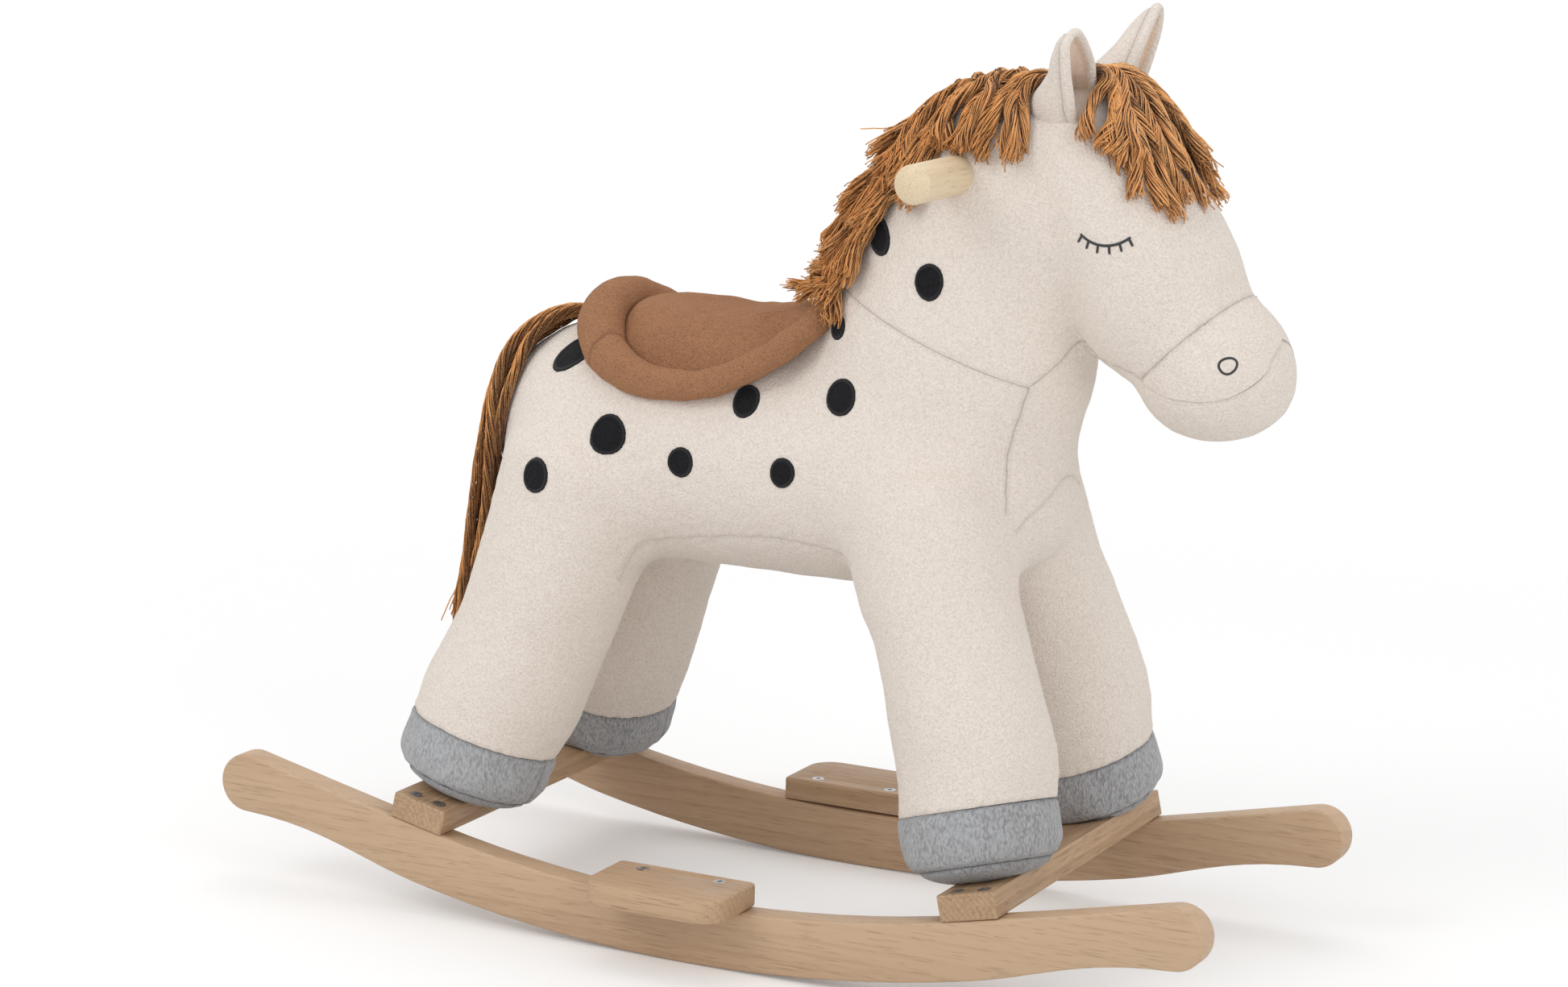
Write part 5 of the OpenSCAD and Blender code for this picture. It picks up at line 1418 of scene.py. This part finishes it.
TAIL_LINE = [[-142, 0, 388, .12], [-161, -12, 386, .8], [-177, -32, 368, 1.1], [-182, -48, 340, 1.15],
             [-185, -56, 307, 1.1], [-189, -60, 270, 1.05], [-196, -61, 233, .9], [-205, -60, 195, .7],
             [-215, -56, 158, .5], [-221, -52, 138, .4]]
TAIL_ROWS, TAIL_ROPES, TAIL_STAND = 90, 7, 4.6
tail_path = curve_through(TAIL_LINE, TAIL_ROWS)
tail = Yarn("tail_yarn", None, "tail", slot_of["tail"])
for n in range(TAIL_ROPES):
    angle = 2 * math.pi * n / TAIL_ROPES + 0.4
    reach = [1.0, 0.93, 0.83, 0.97, 0.74, 0.88, 0.64][n]
    rows = tail_path[:int(TAIL_ROWS * reach)]
    s = np.linspace(0, reach, len(rows))
    winding = angle + 1.8 * s + 0.35 * np.sin(5 * s + n)
    apart = 9.5 * rows[:, 3] / 0.85 * (1 - 0.35 * np.clip((s - 0.75) / 0.25, 0, 1))
    if n == 6:
        apart = apart * 0.2
    offset = np.stack([np.cos(winding) * apart * 0.8, np.sin(winding) * apart, 0 * s], -1)
    path = rows[:, :3] + offset
    away = np.tile([[-1.0, -0.2, 0.1]], (len(path), 1))
    for turn in range(2):
        for k in range(len(path)):
            hit, normal, _, _ = skin_tree.find_nearest(Vector(path[k] * MM))
            gap = (path[k] - np.array(hit) / MM) @ np.array(normal)
            if gap < TAIL_STAND:
                path[k] += (TAIL_STAND - gap) * np.array(normal)
        path[1:-1] = 0.5 * path[1:-1] + 0.25 * (path[:-2] + path[2:])
    paths, thick, tone, tip = rope(draw, path, away, half=(4.6, 4.2), threads=38, pitch=draw.uniform(70, 110),
                                   fray=draw.uniform(20, 34), spread=1.3, taper=0.25)
    tail.add(paths, thick, np.minimum(1.1 * tone, 1), tip)
tail.finish()
for piece in tail.made:
    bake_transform(piece, "horse", "tail", start=(-0.150, 0.0, 0.404), end=(-0.176, -0.02, 0.385))

# ---- Spots ----------------------------------------------------------------------------------
# Ovals of short black plush sewn on the flanks, each with a close raised rim of satin stitch.

spot_material, tree, shader = new_material("spot_plush", Roughness=0.9, Sheen_Weight=0.10, Sheen_Roughness=0.5,
                                           Specular_IOR_Level=0.25)
rim = put(tree, "ShaderNodeAttribute", attribute_name="rim").outputs["Fac"]
stitch = put(tree, "ShaderNodeAttribute", attribute_name="stitch").outputs["Fac"]
nap = put(tree, "ShaderNodeTexVoronoi", {"Vector": place_of(tree), "Scale": 780.0},
          feature="SMOOTH_F1").outputs[0]
threads = sum_of(tree, "SINE", stitch, 0.0)
on_rim = between(tree, rim, 0.35, 0.65)
plain = blend_colours(tree, between(tree, nap, 0.1, 0.6), (0.011, 0.011, 0.014), (0.004, 0.004, 0.005))
# Painted shade and highlight on the satin rim: its colour follows each stitch's bump, darker between the
# stitches and lighter on their crowns.
satin = blend_colours(tree, between(tree, threads, -1.0, 1.0), (0.005, 0.005, 0.006), (0.018, 0.018, 0.021))
tree.links.new(blend_colours(tree, on_rim, plain, satin), shader.inputs["Base Color"])
tree.links.new(between(tree, on_rim, 0.0, 1.0, 0.95, 0.55), shader.inputs["Roughness"])
relief = blend_colours(tree, on_rim, nap, threads)
tree.links.new(bump(tree, sum_of(tree, "MULTIPLY", relief, 1.0), 0.00025, 0.7), shader.inputs["Normal"])

SPOTS = [[126, 438, 20, 24, -15, 0], [61, 403, 13, 17, 0, 0], [72, 362, 22, 24, 0, 0], [7, 353, 19, 20, 0, 0],
         [-85, 324, 26, 26, 0, 0], [-32, 312, 19, 20, 0, 0], [40, 313, 18, 20, 0, 0], [-127, 296, 20, 24, 0, 0],
         [-75, 369, 24, 28, 30, 35], [-48, 339, 24, 28, 0, 62], [85, 461, 17, 25, -25, 0]]
cover_tree = form_of(trunk, skull, snout)


def on_skin(x, z, side, yaw=0.0):
    """Where lines across the horse, turned by a yaw, meet its cover: the points, and the cover's directions
    there."""
    c, s = math.cos(math.radians(side * yaw)), math.sin(math.radians(side * yaw))
    start = np.stack([c * x - s * side * 260, s * x + c * side * 260, z], -1).reshape(-1, 3)
    way = Vector((s * side, -c * side, 0))
    found, out = [], []
    for place in start:
        hit, normal, _, _ = cover_tree.ray_cast(Vector(place * MM), way)
        found.append(np.array(hit) / MM)
        out.append(np.array(normal))
    return np.array(found).reshape(*x.shape, 3), np.array(out).reshape(*x.shape, 3)


patches, rims, stitches = [], [], []
for side in (-1, 1):
    for number, (x, z, wide, tall, turn, yaw) in enumerate(SPOTS):
        rho, theta = np.meshgrid([0.01, 0.15, 0.3, 0.45, 0.6, 0.72, 0.80, 0.85, 0.89, 0.93, 0.97, 1.0, 1.012],
                                 np.linspace(0, 2 * math.pi, 96, endpoint=False), indexing="ij")
        uneven = 1 + 0.020 * np.sin(2 * theta + number) + 0.014 * np.sin(3 * theta + 2.3 * number) \
            + 0.012 * rho ** 8 * np.sin(23 * theta + 3 * np.sin(5 * theta + number))
        a, b = 0.475 * wide * rho * uneven * np.cos(theta), 0.475 * tall * rho * uneven * np.sin(theta)
        c, s = math.cos(math.radians(turn)), math.sin(math.radians(turn))
        place, normal = on_skin(x + c * a + s * b, z - s * a + c * b, side, yaw)
        ring_at = (rho * wide / 2 - (wide / 2 - 1.1)) / 1.0
        high = 0.55 + 0.55 * np.exp(-ring_at ** 2) - 0.15 * np.exp(-((ring_at + 1.4) / 0.5) ** 2)
        high[-2], high[-1] = 0.30, -0.35
        shape, f = closed_skin(np.concatenate([place + high[..., None] * normal,
                                               (place[::-1] - 0.6 * normal[::-1])[1:]]))
        patches.append((shape, f))
        on = np.exp(-(np.clip(np.abs(ring_at) - 0.5, 0, None) / 0.4) ** 2).ravel()
        rest = len(shape) - len(on)
        rims.append(np.concatenate([on, np.zeros(rest)]))
        stitch_count = round(math.pi * (wide + tall) / 2 / 0.8)
        stitches.append(np.concatenate([(theta * stitch_count).ravel(), np.zeros(rest)]))
mesh = mesh_of("spot_set", *stacked(patches))
keep(mesh, "rim", np.concatenate(rims))
keep(mesh, "stitch", np.concatenate(stitches))
add_piece("spot_patches", mesh, spot_material, ["spots"])

# ---- Eyes and nostrils ----------------------------------------------------------------------
# Dark grey embroidery thread in close satin stitch: a closed eyelid with six lashes on each side of
# the head, and a small ring for each nostril.

silk, tree, shader = new_material("embroidery_thread", Roughness=0.5, Sheen_Weight=0.1)
stitch = put(tree, "ShaderNodeAttribute", attribute_name="stitch").outputs["Fac"]
threads = sum_of(tree, "SINE", stitch, 0.0)
# Painted shade and highlight: the thread's colour follows each stitch's bump, darker in the grooves between
# stitches and lighter on their crowns.
thread_black = blend_colours(tree, between(tree, threads, -1.0, 0.6), (0.016, 0.017, 0.020),
                             (0.060, 0.062, 0.070))
tree.links.new(thread_black, shader.inputs["Base Color"])
tree.links.new(bump(tree, threads, 0.0002, 0.7), shader.inputs["Normal"])
EYE_AT, EYE_RADIUS, EYE_HALF_ANGLE, LASH = (237.0, 492.0), 23.0, 42.0, 5.2
NOSTRIL_AT, NOSTRIL_RADIUS = (313.0, 400.5), 4.7
STITCH_HEIGHT, STITCH_PITCH = 0.55, 0.55


def satin_band(x, z, side, half_wide, closed=False):
    """A raised band of satin stitch along a line on the skin: an ellipse, wide across and low, carried along
    it, with shallow steps at the pitch of the stitches; an open band narrows to both ends."""
    place, normal = on_skin(x, z, side)
    ahead = np.roll(place, -1, 0) - np.roll(place, 1, 0) if closed else np.gradient(place, axis=0)
    ahead /= np.linalg.norm(ahead, axis=1, keepdims=True)
    across = np.cross(ahead, normal)
    across /= np.linalg.norm(across, axis=1, keepdims=True)
    gone = np.linalg.norm(np.diff(place, axis=0, prepend=place[:1]), axis=1).cumsum()
    wide = half_wide * (1 + 0.05 * np.sin(2 * math.pi * gone / STITCH_PITCH / 1.7))
    if not closed:
        edge = np.minimum(gone, gone[-1] - gone)
        wide = wide * np.clip(0.55 + edge / 1.5, 0, 1)
    rings = rings_round(place + 0.15 * normal, wide[:, None] * across, STITCH_HEIGHT * normal, 10)
    count, around = len(place), 10
    phase = np.repeat(2 * math.pi * gone / STITCH_PITCH, around)
    if closed:
        return rings.reshape(-1, 3), closed_faces(count, around), phase
    p, f = closed_skin(rings)
    return p, f, np.concatenate([phase, [0.0, phase[-1]]])


def embroidered(name, bands, node):
    """Joins bands of stitch into one piece."""
    mesh = mesh_of(name, *stacked([band[:2] for band in bands]))
    keep(mesh, "stitch", np.concatenate([phase for _, _, phase in bands]))
    add_piece(name, mesh, silk, [node])


eyes, nostrils = [], []
for side in (-1, 1):
    sweep = np.radians(np.linspace(-EYE_HALF_ANGLE, EYE_HALF_ANGLE, 90))
    eyes.append(satin_band(EYE_AT[0] + EYE_RADIUS * np.sin(sweep), EYE_AT[1] - EYE_RADIUS * np.cos(sweep), side,
                           0.85))
    for lash in np.radians([-39, -25, -9, 8, 24, 39]):
        along = np.linspace(0, LASH, 16)
        lean = lash * 0.75
        eyes.append(satin_band(EYE_AT[0] + EYE_RADIUS * np.sin(lash) + along * np.sin(lean),
                               EYE_AT[1] - EYE_RADIUS * np.cos(lash) - along * np.cos(lean), side, 0.80))
    sweep = np.linspace(0, 2 * math.pi, 60, endpoint=False)
    drop = 1 + 0.16 * np.cos(sweep - 0.9) ** 3
    nostrils.append(satin_band(NOSTRIL_AT[0] + NOSTRIL_RADIUS * drop * np.sin(sweep),
                               NOSTRIL_AT[1] + NOSTRIL_RADIUS * drop * np.cos(sweep), side, 0.85, closed=True))
embroidered("eye_embroidery", eyes, "eye_stitches")
embroidered("nostril_embroidery", nostrils, "nostril_stitches")

bpy.data.objects.remove(skin_form)
